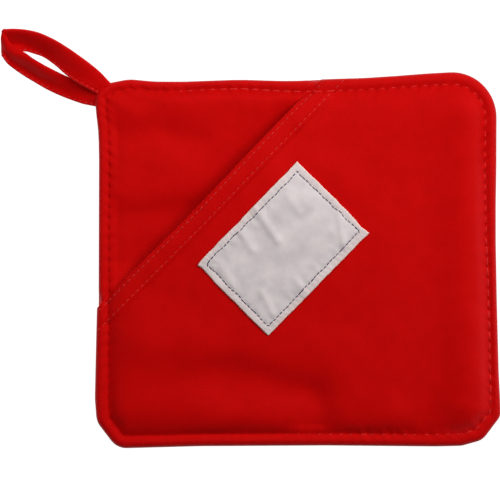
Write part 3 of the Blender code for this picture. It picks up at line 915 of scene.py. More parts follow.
def dress(obj: Object, finish: Finish, node: str) -> Object:
    """Gives a main piece its finish, its body and the solid that it stands for."""
    obj.data.materials.clear()
    obj.data.materials.append(finish.material)
    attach(obj, BODY)
    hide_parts(node)
    return obj


def report(obj: Object) -> None:
    """Logs a piece's name and its number of triangles."""
    triangles = sum(len(face.vertices) - 2 for face in obj.data.polygons)
    log.info("%-28s %7d triangles", obj.name, triangles)


def unrolled(rings: Array, section: Array) -> Array:
    """UV of rings that run outwards, with the cloth of the rim rolled flat.

    Args:
        rings: Rings of points (x, y, z), from the middle outwards.
        section: Their inset and height rows.

    Returns:
        UV in millimetres for each point of each ring.
    """
    step = np.diff(section[:, :2], axis=0)
    extra = np.append(0.0, np.cumsum(np.hypot(step[:, 0], step[:, 1]) + step[:, 0]))
    flat = rings[:, :, :2]
    along = np.roll(flat, -1, axis=1) - np.roll(flat, 1, axis=1)
    outward = unit(np.stack([along[..., 1], -along[..., 0]], axis=-1))
    return flat + outward * extra[:, None, None]


def quad_uv(uv: Array) -> Array:
    """UV of the quads between rings, in the order in which grid_faces lists their corners."""
    low, high = uv[:-1], uv[1:]
    return np.stack([low, np.roll(low, -1, axis=1), np.roll(high, -1, axis=1), high], axis=2).reshape(-1, 2)


@dataclass
class QuiltedSquare:
    """The padded square: two faces of cotton over wadding, with a soft rim outside a sewn channel."""

    columns: int = 836
    centre_inset: float = 90.0
    face_above: float = 4.2  # where the rim's face begins, which is rubbed
    fine: float = 0.42
    coarse: float = 2.2
    back_coarse: float = 6.0
    dense_until: float = 9.0
    valley: float = 3.5  # depth of the dip under the pocket's mouth
    valley_under: float = 4.5  # how far inside the mouth's line the dip is deepest
    valley_width: float = 12.0
    valley_from: tuple[float, float] = (5.0, 8.0)  # how far from the mouth's top and left end it starts
    valley_ends: tuple[float, float] = (24.0, 30.0)  # over what lengths it fades in there
    gathered_under: float = 10.0  # how far the gathers go on inside the pocket, and over what width they fade
    level: float = 0.5  # how much the bare cloth rises to the pocket's at both ends of the mouth
    level_spread: float = 13.0
    fill: float = 0.7

    def face_heights(self, points: Array, inset: float, height: float, phase: Array) -> Array:
        """Height of one ring of the face, with its hollows, gathers and unevenness.

        Args:
            points: The ring's places (x, y).
            inset: The row's distance inside the outline.
            height: The row's height in the plain section.
            phase: Place of each point along the topstitching, a full turn for each stitch.

        Returns:
            The finished heights.
        """
        along, into = MOUTH.place(points)
        (top_start, left_start), (top, left) = self.valley_from, self.valley_ends
        ends = smooth_step((along - top_start) / top)
        ends = ends * smooth_step((MOUTH.length - left_start - along) / left)
        near = sum(bell(lengths(points - end), self.level_spread) for end in (MOUTH.top, MOUTH.left))
        level = self.level * near * fade(into + 0.5) * smooth_step(np.array(inset / 2.0))
        inner = QUILT.inner(inset)
        dip = self.valley * bell(np.minimum(into - self.valley_under, 0.0), self.valley_width) * ends * inner
        uneven = QUILT.unrest * (waves(points, 34.0, 11) + 0.5 * waves(points, 13.0, 12)) * inner
        bare = fade((into - self.gathered_under) / self.gathered_under)
        gathers = bare * QUILT.gathers(phase, inset - QUILT.seam_inset, points, 21)
        plain = height + QUILT.filling(points, inset)
        return plain - QUILT.sunk(points) * inner - dip + level + uneven + gathers

    def back_heights(self, points: Array, inset: float, height: float, phase: Array) -> Array:
        """Height of one ring of the back: flat, but for the topstitched channel and its gathers."""
        gathers = np.abs(QUILT.gathers(phase, inset - QUILT.seam_inset, points, 31))
        return height + 0.5 * gathers * (1.0 - QUILT.inner(inset))

    def rings(self, rays: Rays, section: Array, heights: Callable) -> Array:
        """Rings (x, y, z) of the rows of a section, with the heights of the face or of the back."""
        found = []
        for inset, height, share in section:
            flat = rays.row(inset, QUILT.rebate * share * covered(rays.row(inset)))
            found.append(np.column_stack([flat, heights(flat, inset, height, rays.phase)]))
        return np.array(found)

    def build(self, rays: Rays) -> Object:
        """Makes the square as rings from the middle of its back, round its rim, to the middle of its face."""
        back = QUILT.section(QUILT.back_rows, self.fine, self.back_coarse, self.dense_until)
        face = QUILT.section(QUILT.face_rows, self.fine, self.coarse, self.dense_until)
        back_rings = self.rings(rays, back, self.back_heights)
        face_rings = self.rings(rays, face, self.face_heights)
        rings = np.concatenate([back_rings, face_rings])
        count = self.columns
        faces = grid_faces(len(rings), count, closed=True)
        i = np.arange(count)
        j = (i + 1) % count
        middle = np.full(count, len(rings) * count)
        last = (len(rings) - 1) * count
        faces += np.stack([middle, j, i], axis=1).tolist()
        faces += np.stack([last + i, last + j, middle + 1], axis=1).tolist()
        middles = [[0.0, 0.0, ring[:, 2].mean()] for ring in (rings[0], rings[-1])]
        points = np.vstack([rings.reshape(-1, 3), middles])
        uv_back = unrolled(back_rings, back)
        uv_face = unrolled(face_rings[::-1], face[::-1])[::-1]
        centre = np.zeros((count, 2))
        uv = np.vstack(
            [
                quad_uv(uv_back),
                quad_uv(np.stack([uv_face[0], uv_face[0]])),
                quad_uv(uv_face),
                np.stack([centre, uv_back[0][j], uv_back[0][i]], axis=1).reshape(-1, 2),
                np.stack([uv_face[-1][i], uv_face[-1][j], centre], axis=1).reshape(-1, 2),
            ]
        )
        mesh = mesh_from("quilted_square", points, faces, uv)
        insets = np.append(np.repeat(np.append(back[:, 0], face[:, 0]), count), [self.centre_inset] * 2)
        phases = np.append(np.tile(rays.phase, len(rings)), [0.0, 0.0])
        wear = QUILT.rim_wear(insets) * (points[:, 2] > self.face_above)
        set_attributes(mesh, wear=wear, pinch=QUILT.pinched(phases, insets), pull=QUILT.beside(points, 5))
        return dress(new_object("quilted_square", mesh), Finish.COTTON, "pad")


@dataclass
class HandPocket:
    """The hand pocket: one panel of cotton, caught in the edge seam, with a turned hem along its mouth."""

    columns: int = 640
    fine: float = 0.55
    coarse: float = 2.6
    dense_until: float = 9.0
    cloth: float = 0.9
    rows: tuple = (
        # inset, height of the middle of the cloth's thickness: from the edge seam inwards
        (0.5, 4.0), (0.0, 4.2), (-0.32, 4.8), (-0.3, 5.8), (0.0, 6.85), (0.55, 7.55), (1.3, 7.95),
        (2.2, 8.12), (3.1, 8.07), (4.1, 7.82), (4.8, 7.6), (5.5, 7.45), (6.3, 7.6), (7.3, 8.0), (8.5, 8.5),
        (10.2, 9.12), (12.8, 9.8), (16.5, 10.35), (21.0, 10.65), (28.0, 10.8), (38.0, 10.9), (50.0, 10.95),
        (64.0, 11.0), (86.0, 11.05),
    )
    hem_swell: float = 0.8  # how much higher the doubled hem stands
    hem_width: float = 10.8
    hem_ramp: float = 2.4
    hem_fade: tuple[float, float] = (3.0, 9.0)
    edge: float = 1.75  # where the flat cloth ends and its fold begins, inside the mouth's line
    fold: float = 0.55  # radius of the fold at the mouth's edge
    roll: tuple[float, float] = (0.85, 1.5)  # how far the doubled edge rolls down, and over what width
    hem_cuts: tuple[float, ...] = (
        # lines along which the panel's mesh is cut, so that the hem's stitched dents are clean
        2.1, 2.5, 2.9, 3.3, 3.7, 4.3, 5.2, 6.2, 7.2, 8.2, 8.8, 9.2, 9.6, 10.0, 10.4, 10.8, 11.4, 12.2,
    )
    cut_reach: float = 20.0  # how far into the pocket its mesh is searched for faces to cut
    ray_height: float = 60.0
    fold_turns: tuple[float, ...] = (35.0, 70.0, 105.0, 140.0, 180.0)
    under_depths: tuple[float, ...] = (1.2, 3.0, 5.0, 7.0, 9.0, 10.8)
    gape: float = 4.2  # how far the pocket stands off the square, at the most
    gape_depth: float = 112.0
    gape_shape: tuple = (
        # share of the mouth's length from its top end, share of the gape
        (0.0, 0.0), (0.07, 0.05), (0.15, 0.45), (0.25, 0.88), (0.37, 1.0), (0.5, 0.9), (0.65, 0.62),
        (0.78, 0.32), (0.87, 0.06), (1.0, 0.0),
    )
    sag: float = 0.85
    sag_at: float = 0.58
    sag_spread: float = 0.26
    sag_fade: float = 26.0
    stitch_rows: tuple[float, float] = (2.9, 9.6)
    hem_past: float = 12.0  # how far past the mouth's ends the rows are drawn before the outline cuts them
    hem_step: float = 0.5
    hem_margin: float = 0.8  # how far inside the outline they end
    stitch_pitch: float = 3.5
    stitch_dent: float = 0.4
    dent_width: float = 0.75
    ripples: tuple[float, float] = (0.015, 0.02)  # height of the hem's short and long ripples
    ripple_width: float = 2.6
    tuck: float = 0.6  # how far the cloth's edge is drawn in where the mouth meets the top edge
    tuck_spread: float = 14.0
    tuck_depth: float = 3.0
    press: float = 0.5  # how far the seam presses the cloth down at both ends of the mouth
    press_depth: float = 12.0
    lightened: float = 0.9  # painted highlight: how much lighter the cloth is painted where it swells beside the seam, on the right
    highlight_inside: float = 2.6  # how far inside the seam that is
    highlight_spread: float = 2.4
    highlight_right: float = 70.0  # right of this x
    highlight_below: float = 35.0  # and below this y
    highlight_fade: tuple[float, float] = (15.0, 30.0)  # over what lengths in x and y that fades
    cut_size: tuple[float, float] = (0.2075, 0.1915)
    cut_area: float = 0.0352

    def rub_and_highlight(self, points: Array, inset: Array) -> Array:
        """Lighter cloth: a little on the rim, from rubbing, and more as painted highlight on the seam's
        swelling.
        """
        x, y = points[:, 0] - self.highlight_right, points[:, 1] - self.highlight_below
        right = smooth_step(x / self.highlight_fade[0]) * fade(y / self.highlight_fade[1])
        swelling = bell(inset - QUILT.seam_inset - self.highlight_inside, self.highlight_spread)
        return QUILT.rim_wear(inset) + self.lightened * swelling * right

    def gaping(self, points: Array) -> Array:
        """How far the pocket stands off the square, most at the middle of its mouth."""
        along, into = MOUTH.place(points)
        table = np.array(self.gape_shape)
        share = np.clip(along / MOUTH.length, 0.0, 1.0)
        open_here = smooth_curve(table[:, 1:], table[:, 0], share)[:, 0]
        depth = np.clip(into / self.gape_depth, 0.0, 1.0)
        return self.gape * open_here * 0.5 * (1.0 + np.cos(math.pi * depth))

    def sagging(self, along: Array, into: Array) -> Array:
        """How far the cloth is drawn into the pocket, most at the mouth's loose middle."""
        sag = self.sag * bell(along / MOUTH.length - self.sag_at, self.sag_spread)
        return MOUTH.inward * (sag * fade(into / self.sag_fade))[:, None]

    def hem_form(self, points: Array, along: Array, into: Array, inset: Array) -> Array:
        """Height that the doubled hem, its two stitched dents and its soft ripples add to the cloth."""
        low, high = self.hem_fade
        doubled = smooth_step((inset - low) / (high - low))
        doubled = doubled * fade((into - self.hem_width + 1.0) / self.hem_ramp)
        flat = smooth_step((inset - 1.0) / 4.0)
        form = self.hem_swell * doubled - self.roll[0] * bell(into - self.edge, self.roll[1]) * flat
        strength = 0.8 + 0.4 * waves(points, 19.0, 41)
        stitch = np.cos(math.tau * along / self.stitch_pitch + 0.5 * waves(points, 9.0, 42))
        for row in self.stitch_rows:
            form = form - self.stitch_dent * bell(into - row, self.dent_width) * (0.8 + 0.2 * stitch) * flat
            form = form + self.ripples[0] * strength * stitch * bell(into - row, self.ripple_width) * flat
        slow = math.tau * along / (3.0 * self.stitch_pitch) + 1.4 * waves(points, 22.0, 43)
        return form + self.ripples[1] * np.cos(slow) * bell(into - 6.0, 6.5) * flat

    def shaped(self, points: Array, inset: Array, phase: Array) -> Array:
        """Moves the panel's points from the plain section to where the cloth lies.

        Args:
            points: Places (x, y, z) on the plain section.
            inset: Their distance inside the outline.
            phase: Their place along the topstitching, a full turn for each stitch.

        Returns:
            The finished places.
        """
        along, into = MOUTH.place(points)
        inner = QUILT.inner(inset)
        gathers = QUILT.gathers(phase, inset - QUILT.seam_inset, points, 51)
        uneven = QUILT.unrest * (waves(points, 38.0, 52) + 0.6 * waves(points, 15.0, 53)) * inner
        points = points.copy()
        sunk = QUILT.sunk(points) * inner
        points[:, 2] += self.gaping(points) + QUILT.filling(points, inset) - sunk + uneven
        points[:, 2] += gathers * smooth_step((into - 2.0) / 6.0) + self.hem_form(points, along, into, inset)
        for end in (MOUTH.top, MOUTH.left):
            near = bell(lengths(points[:, :2] - end), self.tuck_spread)
            points[:, 2] -= self.press * near * fade(into / self.press_depth)
        points[:, :2] += self.sagging(along, into)
        return points

    def lofted(self, rays: Rays) -> tuple[BMesh, dict]:
        """The plain section as a mesh round the whole square, with each point's inset, phase and UV kept."""
        rows = QUILT.section(self.rows, self.fine, self.coarse, self.dense_until)
        tuck = self.tuck * bell(lengths(rays.starts - MOUTH.top), self.tuck_spread)
        shares = fade(rows[:, 0] / self.tuck_depth)
        rings = [
            np.column_stack([rays.row(row[0], tuck * share), np.full(self.columns, row[1])])
            for row, share in zip(rows, shares)
        ]
        flats = unrolled(np.array(rings[::-1]), rows[::-1])[::-1]
        mesh = bmesh.new()
        layers = {name: mesh.verts.layers.float.new(name) for name in ("inset", "phase", "u", "v")}
        verts = []
        for inset, ring, flat in zip(rows[:, 0], rings, flats):
            line = []
            for point, phase, uv in zip(ring.tolist(), rays.phase.tolist(), flat.tolist()):
                vert = mesh.verts.new(point)
                for layer, value in zip(layers.values(), (inset, phase, *uv)):
                    vert[layer] = value
                line.append(vert)
            verts.append(line)
        for low, high in zip(verts[:-1], verts[1:]):
            for i in range(self.columns):
                j = (i + 1) % self.columns
                mesh.faces.new((low[i], low[j], high[j], high[i]))
        middle = mesh.verts.new((0.0, 0.0, float(rings[-1][:, 2].mean())))
        middle[layers["inset"]] = float(rows[-1, 0])
        for i in range(self.columns):
            mesh.faces.new((verts[-1][i], verts[-1][(i + 1) % self.columns], middle))
        return mesh, layers

    def build(self, rays: Rays) -> Object:
        """Makes the panel all round, cuts it along the mouth, lifts it into place and turns its hem under."""
        mesh, layers = self.lofted(rays)
        top, inward = Vector((*MOUTH.top, 0.0)), Vector((*MOUTH.inward, 0.0))
        near = [face for face in mesh.faces if (face.calc_center_median() - top).dot(inward) < self.cut_reach]
        parts = list(dict.fromkeys(part for face in near for part in (face, *face.edges, *face.verts)))
        for into in (self.edge, *self.hem_cuts):
            plane = {"plane_co": top + inward * into, "plane_no": inward, "clear_inner": into == self.edge}
            parts = bmesh.ops.bisect_plane(mesh, geom=parts, dist=1e-4, **plane)["geom"]
        points = np.array([vert.co for vert in mesh.verts])
        kept = layer_values(mesh, layers)
        along, into = MOUTH.place(points)
        order = np.argsort(along)
        all_verts = list(mesh.verts)
        rim = [all_verts[i] for i in order if abs(into[i] - self.edge) < 1e-3]
        for vert, point in zip(all_verts, self.shaped(points, kept["inset"], kept["phase"])):
            vert.co = point
        self.turn_hem(mesh, layers, rim)
        bmesh.ops.recalc_face_normals(mesh, faces=mesh.faces)
        uv = mesh.loops.layers.uv.new("UVMap")
        for face in mesh.faces:
            for loop in face.loops:
                loop[uv].uv = (loop.vert[layers["u"]] * UV_MM, loop.vert[layers["v"]] * UV_MM)
        kept = layer_values(mesh, layers)
        points = np.array([vert.co for vert in mesh.verts])
        bmesh.ops.scale(mesh, vec=(MM, MM, MM), verts=mesh.verts)
        data = bpy.data.meshes.new("pocket_panel")
        mesh.to_mesh(data)
        mesh.free()
        data.shade_smooth()
        for name in layers:
            data.attributes.remove(data.attributes[name])
        # the lighter share holds rubbing on the rim and the painted highlight beside the right seam
        wear, pinch = self.rub_and_highlight(points, kept["inset"]), QUILT.pinched(kept["phase"], kept["inset"])
        set_attributes(data, wear=wear, pinch=pinch, pull=QUILT.beside(points, 5))
        obj = new_object("pocket_panel", data)
        thicken(obj, self.cloth)
        return dress(obj, Finish.COTTON, "hand_pocket")

    def hem_line(self, into: float) -> Array:
        """Line of one row of the hem's stitching, from the top edge to the left edge."""
        along = np.arange(-self.hem_past, MOUTH.length + self.hem_past, self.hem_step)
        line = MOUTH.point(along, np.full(len(along), into))
        inside = OUTLINE.inset(line) > self.hem_margin
        return line[inside] + self.sagging(along[inside], np.full(inside.sum(), into))

    def turn_hem(self, mesh: BMesh, layers: dict, rim: list) -> None:
        """Adds the cloth that turns round the mouth's edge and runs back under the hem.

        Args:
            mesh: The panel, in place.
            layers: Its layers of kept numbers.
            rim: The vertices of the mouth's edge, in order along it.
        """
        mesh.normal_update()
        tree = BVHTree.FromBMesh(mesh)
        outward = Vector((*(-MOUTH.inward), 0.0))
        sources = [(v.co.copy(), v.normal.copy(), [v[layer] for layer in layers.values()]) for v in rim]
        lines, reaches = [], []
        for angle in np.radians(self.fold_turns):
            line = []
            for place, normal, _ in sources:
                out = (outward - outward.dot(normal) * normal).normalized()
                turned = normal * (math.cos(angle) - 1.0) + out * math.sin(angle)
                line.append(place + turned * self.fold)
            lines.append(line)
            reaches.append(self.fold * angle)
        for depth in self.under_depths:
            line = []
            for place, normal, _ in sources:
                start = Vector((*(np.array(place)[:2] + MOUTH.inward * depth), self.ray_height))
                hit, over = tree.ray_cast(start, Vector((0.0, 0.0, -1.0)))[:2]
                if hit is None:
                    hit, over = place, normal
                line.append(hit - over * 2.0 * self.fold)
            lines.append(line)
            reaches.append(math.pi * self.fold + depth)
        before = rim
        for line, reach in zip(lines, reaches):
            shift = -MOUTH.inward * reach
            row = []
            for place, (_, _, numbers) in zip(line, sources):
                vert = mesh.verts.new(place)
                moved = (*numbers[:2], numbers[2] + shift[0], numbers[3] + shift[1])
                for layer, value in zip(layers.values(), moved):
                    vert[layer] = value
                row.append(vert)
            for i in range(len(rim) - 1):
                mesh.faces.new((before[i], before[i + 1], row[i + 1], row[i]))
            before = row


@dataclass
class LabelPatch:
    """The small woven patch, sewn round its edge onto the pocket at the mouth's slant, and left bare."""

    corners: tuple = ((-0.2, 51.5), (35.9, 15.1), (-14.9, -37.0), (-50.8, -1.1))  # top, right, bottom, left
    border: tuple = ((-0.5, 45.9), (30.8, 16.1), (-15.2, -31.9), (-46.3, -0.4))  # its stitching, likewise
    edges: tuple = (
        # for each side, from the top corner on: share of the side, how far the cloth stands outside it
        (
            (0.0, -0.1), (0.05, -0.25), (0.15, -0.4), (0.25, -0.1), (0.75, 0.0), (0.82, -0.3), (0.9, -0.6),
            (1.0, 0.1),
        ),
        ((0.0, 0.0), (0.06, -0.25), (0.35, -0.38), (0.5, -0.25), (0.85, -0.4), (0.94, -0.5), (1.0, -0.3)),
        ((0.0, 0.0), (0.3, 0.12), (0.5, -0.05), (0.75, 0.0), (0.88, -0.3), (0.95, -0.6), (1.0, 0.1)),
        (
            (0.0, 0.1), (0.06, 0.5), (0.28, 0.42), (0.36, 0.3), (0.41, -0.1), (0.46, 0.3), (0.8, 0.25),
            (0.9, 0.0), (1.0, 0.3),
        ),
    )
    creases: tuple = (
        # height, half width, points of the line
        (0.8, 2.2, ((-21.5, 27.0), (-10.5, 11.5))),
        (0.5, 1.9, ((-29.5, 15.8), (-23.4, 6.6))),
        (0.55, 2.6, ((-7.1, 37.2), (0.0, 26.0))),
        (0.6, 1.9, ((20.4, 24.9), (23.4, 8.7))),
        (0.5, 2.2, ((-1.0, -8.7), (6.1, -18.8))),
        (0.55, 2.2, ((-18.3, -14.8), (-13.2, -24.9))),
        (0.45, 5.0, ((-3.0, 38.5), (24.0, 12.5))),
        (0.5, 2.3, ((-38.7, -2.5), (-31.6, -13.7))),
    )
    across: int = 84
    down: int = 116
    cloth: float = 0.45
    lift: float = 0.1
    slack: float = 0.5  # how far the plain cloth stands off the pocket
    rim_drop: float = 0.12
    stitch_pitch: float = 2.3
    dent: float = 0.3
    dent_width: float = 0.8
    pucker: float = 0.13
    pucker_pitches: tuple[float, float] = (6.4, 2.9)  # of the puckers inside the stitching and outside it
    edge_wander: float = 0.1
    border_wander: float = 0.2
    border_steps: float = 60.0  # points to each side of the stitching's line
    pale_rim: float = 0.6  # width of the frayed rim, which is paler
    pale_margin: float = 0.14  # how much paler the cloth outside the stitching is
    cut_size: tuple[float, float] = (0.0517, 0.0738)

    @property
    def sizes(self) -> tuple[float, float]:
        """Width (top to right corner) and length (right to bottom corner)."""
        top, right, bottom, _ = self.corners
        return math.dist(top, right), math.dist(right, bottom)

    def place(self, u: Array, v: Array) -> Array:
        """Points at shares u across and v down the patch, before its edges wander."""
        top, right, bottom, left = (np.array(corner) for corner in self.corners)
        upper = top + (right - top) * u[:, None]
        lower = left + (bottom - left) * u[:, None]
        return upper + (lower - upper) * v[:, None]

    def edge_distance(self, u: Array, v: Array) -> Array:
        """Distance from the nearest edge, before the edges wander."""
        width, length = self.sizes
        return np.minimum(np.minimum(u, 1.0 - u) * width, np.minimum(v, 1.0 - v) * length)

    def frayed(self, flat: Array, u: Array, v: Array) -> Array:
        """The places with the cloth's edges pulled in and out of their straight lines."""
        width, length = self.sizes
        top, right, bottom, _ = (np.array(corner) for corner in self.corners)
        way_u, way_v = unit(right - top), unit(bottom - right)
        sides = (
            # distance from the side, share along it from its first corner, outward
            (v * length, u, -way_v),
            ((1.0 - u) * width, v, way_u),
            ((1.0 - v) * length, 1.0 - u, way_v),
            (u * width, 1.0 - v, -way_u),
        )
        moved = flat.copy()
        for i, ((off, share, outward), table) in enumerate(zip(sides, self.edges)):
            places, stands = np.array(table).T
            wander = np.interp(share, places, stands) + self.edge_wander * waves(flat, 6.0, 71 + i)
            moved += outward * (wander * bell(off, 2.5))[:, None]
        return moved

    def border_offset(self, flat: Array) -> tuple[Array, Array]:
        """Distance from the border stitching, and the side of it: below 0 inside."""
        return line_offset(flat, np.array(self.border + self.border[:1]))

    def wrinkles(self, flat: Array, u: Array, v: Array) -> Array:
        """Height of the creases and puckers that the border stitching has drawn in the patch."""
        width, length = self.sizes
        edge = self.edge_distance(u, v)
        off, side = self.border_offset(flat)
        beside = bell(off, self.dent_width)
        form = -self.dent * beside
        for height, half_width, line in self.creases:
            form = form + height * bell(line_offset(flat, np.array(line))[0], half_width)
        long_side = np.minimum(u, 1.0 - u) * width < np.minimum(v, 1.0 - v) * length
        along = np.where(long_side, v * length, u * width)
        slant = along + 0.8 * waves(flat, 9.0, 61)
        inner, outer = (np.cos(math.tau * slant / pitch) for pitch in self.pucker_pitches)
        inside = bell(off, 5.0) * (side < 0.0)
        form = form + self.pucker * inner * inside * (1.0 - beside)
        form = form + 0.8 * self.pucker * outer * bell(edge - 2.2, 1.9)
        return form + 0.16 * waves(flat, 24.0, 62) + 0.05 * waves(flat, 8.0, 63)

    def build(self, pocket: Surface) -> Object:
        """Makes the patch as a fine grid of cloth laid on the pocket."""
        down, across = np.linspace(0.0, 1.0, self.down), np.linspace(0.0, 1.0, self.across)
        v, u = (side.ravel() for side in np.meshgrid(down, across, indexing="ij"))
        flat = self.place(u, v)
        moved = self.frayed(flat, u, v)
        rim = bell(self.edge_distance(u, v), self.pale_rim)
        under, _, met = pocket.drop(moved)
        heights = under[:, 2] + self.lift + 0.5 * self.cloth
        heights += np.maximum(self.wrinkles(flat, u, v) + self.slack, 0.0) - self.rim_drop * rim
        points = np.column_stack([moved, heights])
        faces = [face[::-1] for face in grid_faces(self.down, self.across)]
        width, length = self.sizes
        corner_uv = np.stack([u * width, v * length], axis=1)[np.array(faces).ravel()]
        mesh = mesh_from("label_patch_cloth", points, faces, corner_uv)
        inside = self.border_offset(flat)[1] < 0.0
        set_attributes(mesh, wear=np.maximum(rim, np.where(inside, 0.0, self.pale_margin)))
        obj = new_object("label_patch_cloth", mesh)
        thicken(obj, self.cloth)
        log.info("patch points on the pocket: %d of %d", met.sum(), len(met))
        return dress(obj, Finish.LABEL, "label_patch")

    def border_line(self) -> Array:
        """Closed line of the border stitching, seen from above."""
        corners = np.array(self.border + self.border[:1])
        share = np.arange(0.0, 1.0, 1.0 / self.border_steps)[:, None]
        places = np.vstack([start + (end - start) * share for start, end in zip(corners[:-1], corners[1:])])
        wander = np.stack([waves(places, 8.0, 81), waves(places, 8.0, 82)], axis=1)
        return places + self.border_wander * wander


@dataclass
class HangingLoop:
    """The hanging loop: one narrow strap of cotton, doubled back at its tip, both ends in the corner seam."""

    rows: tuple = (
        # edge A x, y, z, edge B x, y, z, and between which shares of the width it rises from A to B:
        # from the lower end in the seam, round the tip, to the upper end
        (-96.7, 77.6, 3.2, -94.2, 88.1, 3.2, 0.2, 0.8),
        (-103.3, 79.7, 2.9, -101.0, 90.0, 3.0, 0.2, 0.8),
        (-109.7, 81.1, 1.6, -106.9, 91.1, 2.3, 0.2, 0.8),
        (-115.8, 83.2, 1.0, -111.9, 92.8, 2.7, 0.2, 0.85),
        (-121.9, 85.6, 0.9, -117.9, 95.2, 3.6, 0.2, 0.9),
        (-128.0, 88.5, 0.9, -123.2, 97.7, 4.8, 0.2, 0.92),
        (-134.1, 92.0, 1.0, -128.8, 100.6, 5.6, 0.2, 0.92),
        (-140.2, 95.7, 1.2, -134.6, 104.0, 6.0, 0.2, 0.9),
        (-144.8, 98.9, 1.7, -138.6, 106.8, 6.2, 0.2, 0.85),
        (-147.9, 101.4, 2.5, -142.0, 108.8, 6.0, 0.2, 0.75),
        (-149.2, 103.0, 3.3, -145.8, 111.6, 5.6, 0.2, 0.7),
        (-149.9, 104.3, 3.6, -149.0, 116.2, 5.4, 0.2, 0.8),
        (-150.3, 105.3, 2.6, -150.6, 118.0, 5.0, 0.2, 0.9),
        (-149.6, 105.6, 1.5, -150.0, 118.9, 5.2, 0.25, 0.95),
        (-147.6, 106.4, 1.0, -148.2, 119.0, 5.8, 0.3, 0.98),
        (-143.8, 107.3, 1.0, -145.0, 119.1, 6.3, 0.3, 0.98),
        (-139.0, 107.8, 1.4, -139.0, 118.7, 6.6, 0.25, 0.98),
        (-134.9, 106.7, 2.4, -132.6, 117.4, 6.9, 0.15, 0.95),
        (-129.5, 104.7, 3.8, -124.3, 113.8, 8.6, 0.05, 0.95),
        (-123.4, 100.4, 6.2, -117.3, 109.6, 10.2, 0.05, 0.95),
        (-117.7, 95.4, 7.8, -111.1, 105.3, 11.2, 0.05, 0.95),
        (-111.4, 91.0, 8.2, -105.4, 101.1, 10.6, 0.1, 0.9),
        (-105.4, 87.8, 7.2, -100.0, 96.6, 7.6, 0.2, 0.8),
        (-101.5, 85.5, 4.8, -95.7, 92.1, 4.8, 0.2, 0.8),
        (-98.7, 83.0, 4.3, -91.1, 88.1, 4.3, 0.2, 0.8),
    )
    width: float = 10.7
    thickness: float = 1.6
    rubbed_edge: float = 0.7  # width of the strap's edges, which are rubbed lighter
    stations: int = 210
    columns: int = 22
    stitch_in: float = 1.15  # distance of the edge stitching from edge A
    stitch_pitch: float = 3.0
    stitch_dent: float = 0.3
    dent_width: float = 0.55
    edge_round: float = 0.8
    least_share: float = 0.02  # share of the thickness that is left at the very edge
    puff: float = 0.09
    flat_size: tuple[float, float] = (0.0107, 0.138)

    @cached_property
    def ribbon(self) -> Array:
        """Middle surface of the strap: stations by columns of points."""
        table = np.array(self.rows)
        middle = 0.5 * (table[:, :3] + table[:, 3:6])
        along = chord_lengths(middle)
        wanted = np.linspace(0.0, along[-1], self.stations)
        found = smooth_curve(table, along, wanted)
        a, b = found[:, None, :3], found[:, None, 3:6]
        low, high = found[:, 6:7], found[:, 7:8]
        shares = np.repeat(np.tile(self.shares, (self.stations, 1))[..., None], 3, axis=2)
        shares[..., 2] = smooth_step((shares[..., 2] - low) / (high - low))
        return a + (b - a) * shares

    @cached_property
    def shares(self) -> Array:
        """Shares of the strap's width at its columns, closer together at both edges."""
        return 0.5 - 0.5 * np.cos(math.pi * np.linspace(0.0, 1.0, self.columns))

    @cached_property
    def normals(self) -> Array:
        """Outward direction of the strap's upper face at each point of the ribbon."""
        return unit(np.cross(*np.gradient(self.ribbon, axis=(0, 1))))

    def half_thickness(self) -> Array:
        """Half of the strap's thickness at each point, rounded at its edges and dented by its stitching."""
        width = lengths(self.ribbon[:, -1] - self.ribbon[:, 0])[:, None]
        x = self.shares[None, :] * width
        edge = np.minimum(x, width - x)
        rounded = np.sqrt(1.0 - (1.0 - np.clip(edge / self.edge_round, 0.0, 1.0)) ** 2)
        along = chord_lengths(self.ribbon[:, self.columns // 2])[:, None]
        stitch = np.cos(math.tau * along / self.stitch_pitch)
        dent = self.stitch_dent * bell(x - self.stitch_in, self.dent_width) * (0.8 + 0.2 * stitch)
        plane = np.stack([x.ravel(), np.broadcast_to(along, x.shape).ravel()], axis=1)
        puff = self.puff * waves(plane, 9.0, 91).reshape(x.shape)
        half = 0.5 * self.thickness - dent + puff * smooth_step(edge / 2.0)
        return half * np.maximum(rounded, self.least_share)

    def build(self) -> Object:
        """Makes the strap as a closed skin round the ribbon."""
        half = self.half_thickness()[..., None]
        upper = self.ribbon + self.normals * half
        lower = self.ribbon - self.normals * half
        rings = np.concatenate([upper, lower[:, -2:0:-1]], axis=1)
        count = rings.shape[1]
        faces = [face[::-1] for face in grid_faces(self.stations, count, closed=True)]
        faces += [tuple(range(count)), tuple(range((self.stations - 1) * count, self.stations * count))[::-1]]
        along = chord_lengths(self.ribbon[:, self.columns // 2])
        skin = lengths(np.diff(rings, axis=1, append=rings[:, :1]))
        around = np.concatenate([np.zeros((self.stations, 1)), np.cumsum(skin, axis=1)], axis=1)
        flat = np.stack(np.broadcast_arrays(around, along[:, None]), axis=-1)
        low, high = flat[:-1], flat[1:]
        uv = np.stack([high[:, :-1], high[:, 1:], low[:, 1:], low[:, :-1]], axis=2).reshape(-1, 2)
        uv = np.vstack([uv, np.zeros((2 * count, 2))])
        mesh = mesh_from("loop_strap", rings.reshape(-1, 3), faces, uv)
        across = self.shares * self.width
        wear = bell(np.minimum(across, self.width - across), self.rubbed_edge)
        wear = np.append(wear, np.zeros(count - self.columns))
        set_attributes(mesh, wear=np.tile(wear, self.stations))
        return dress(new_object("loop_strap", mesh), Finish.COTTON, "hanging_loop")

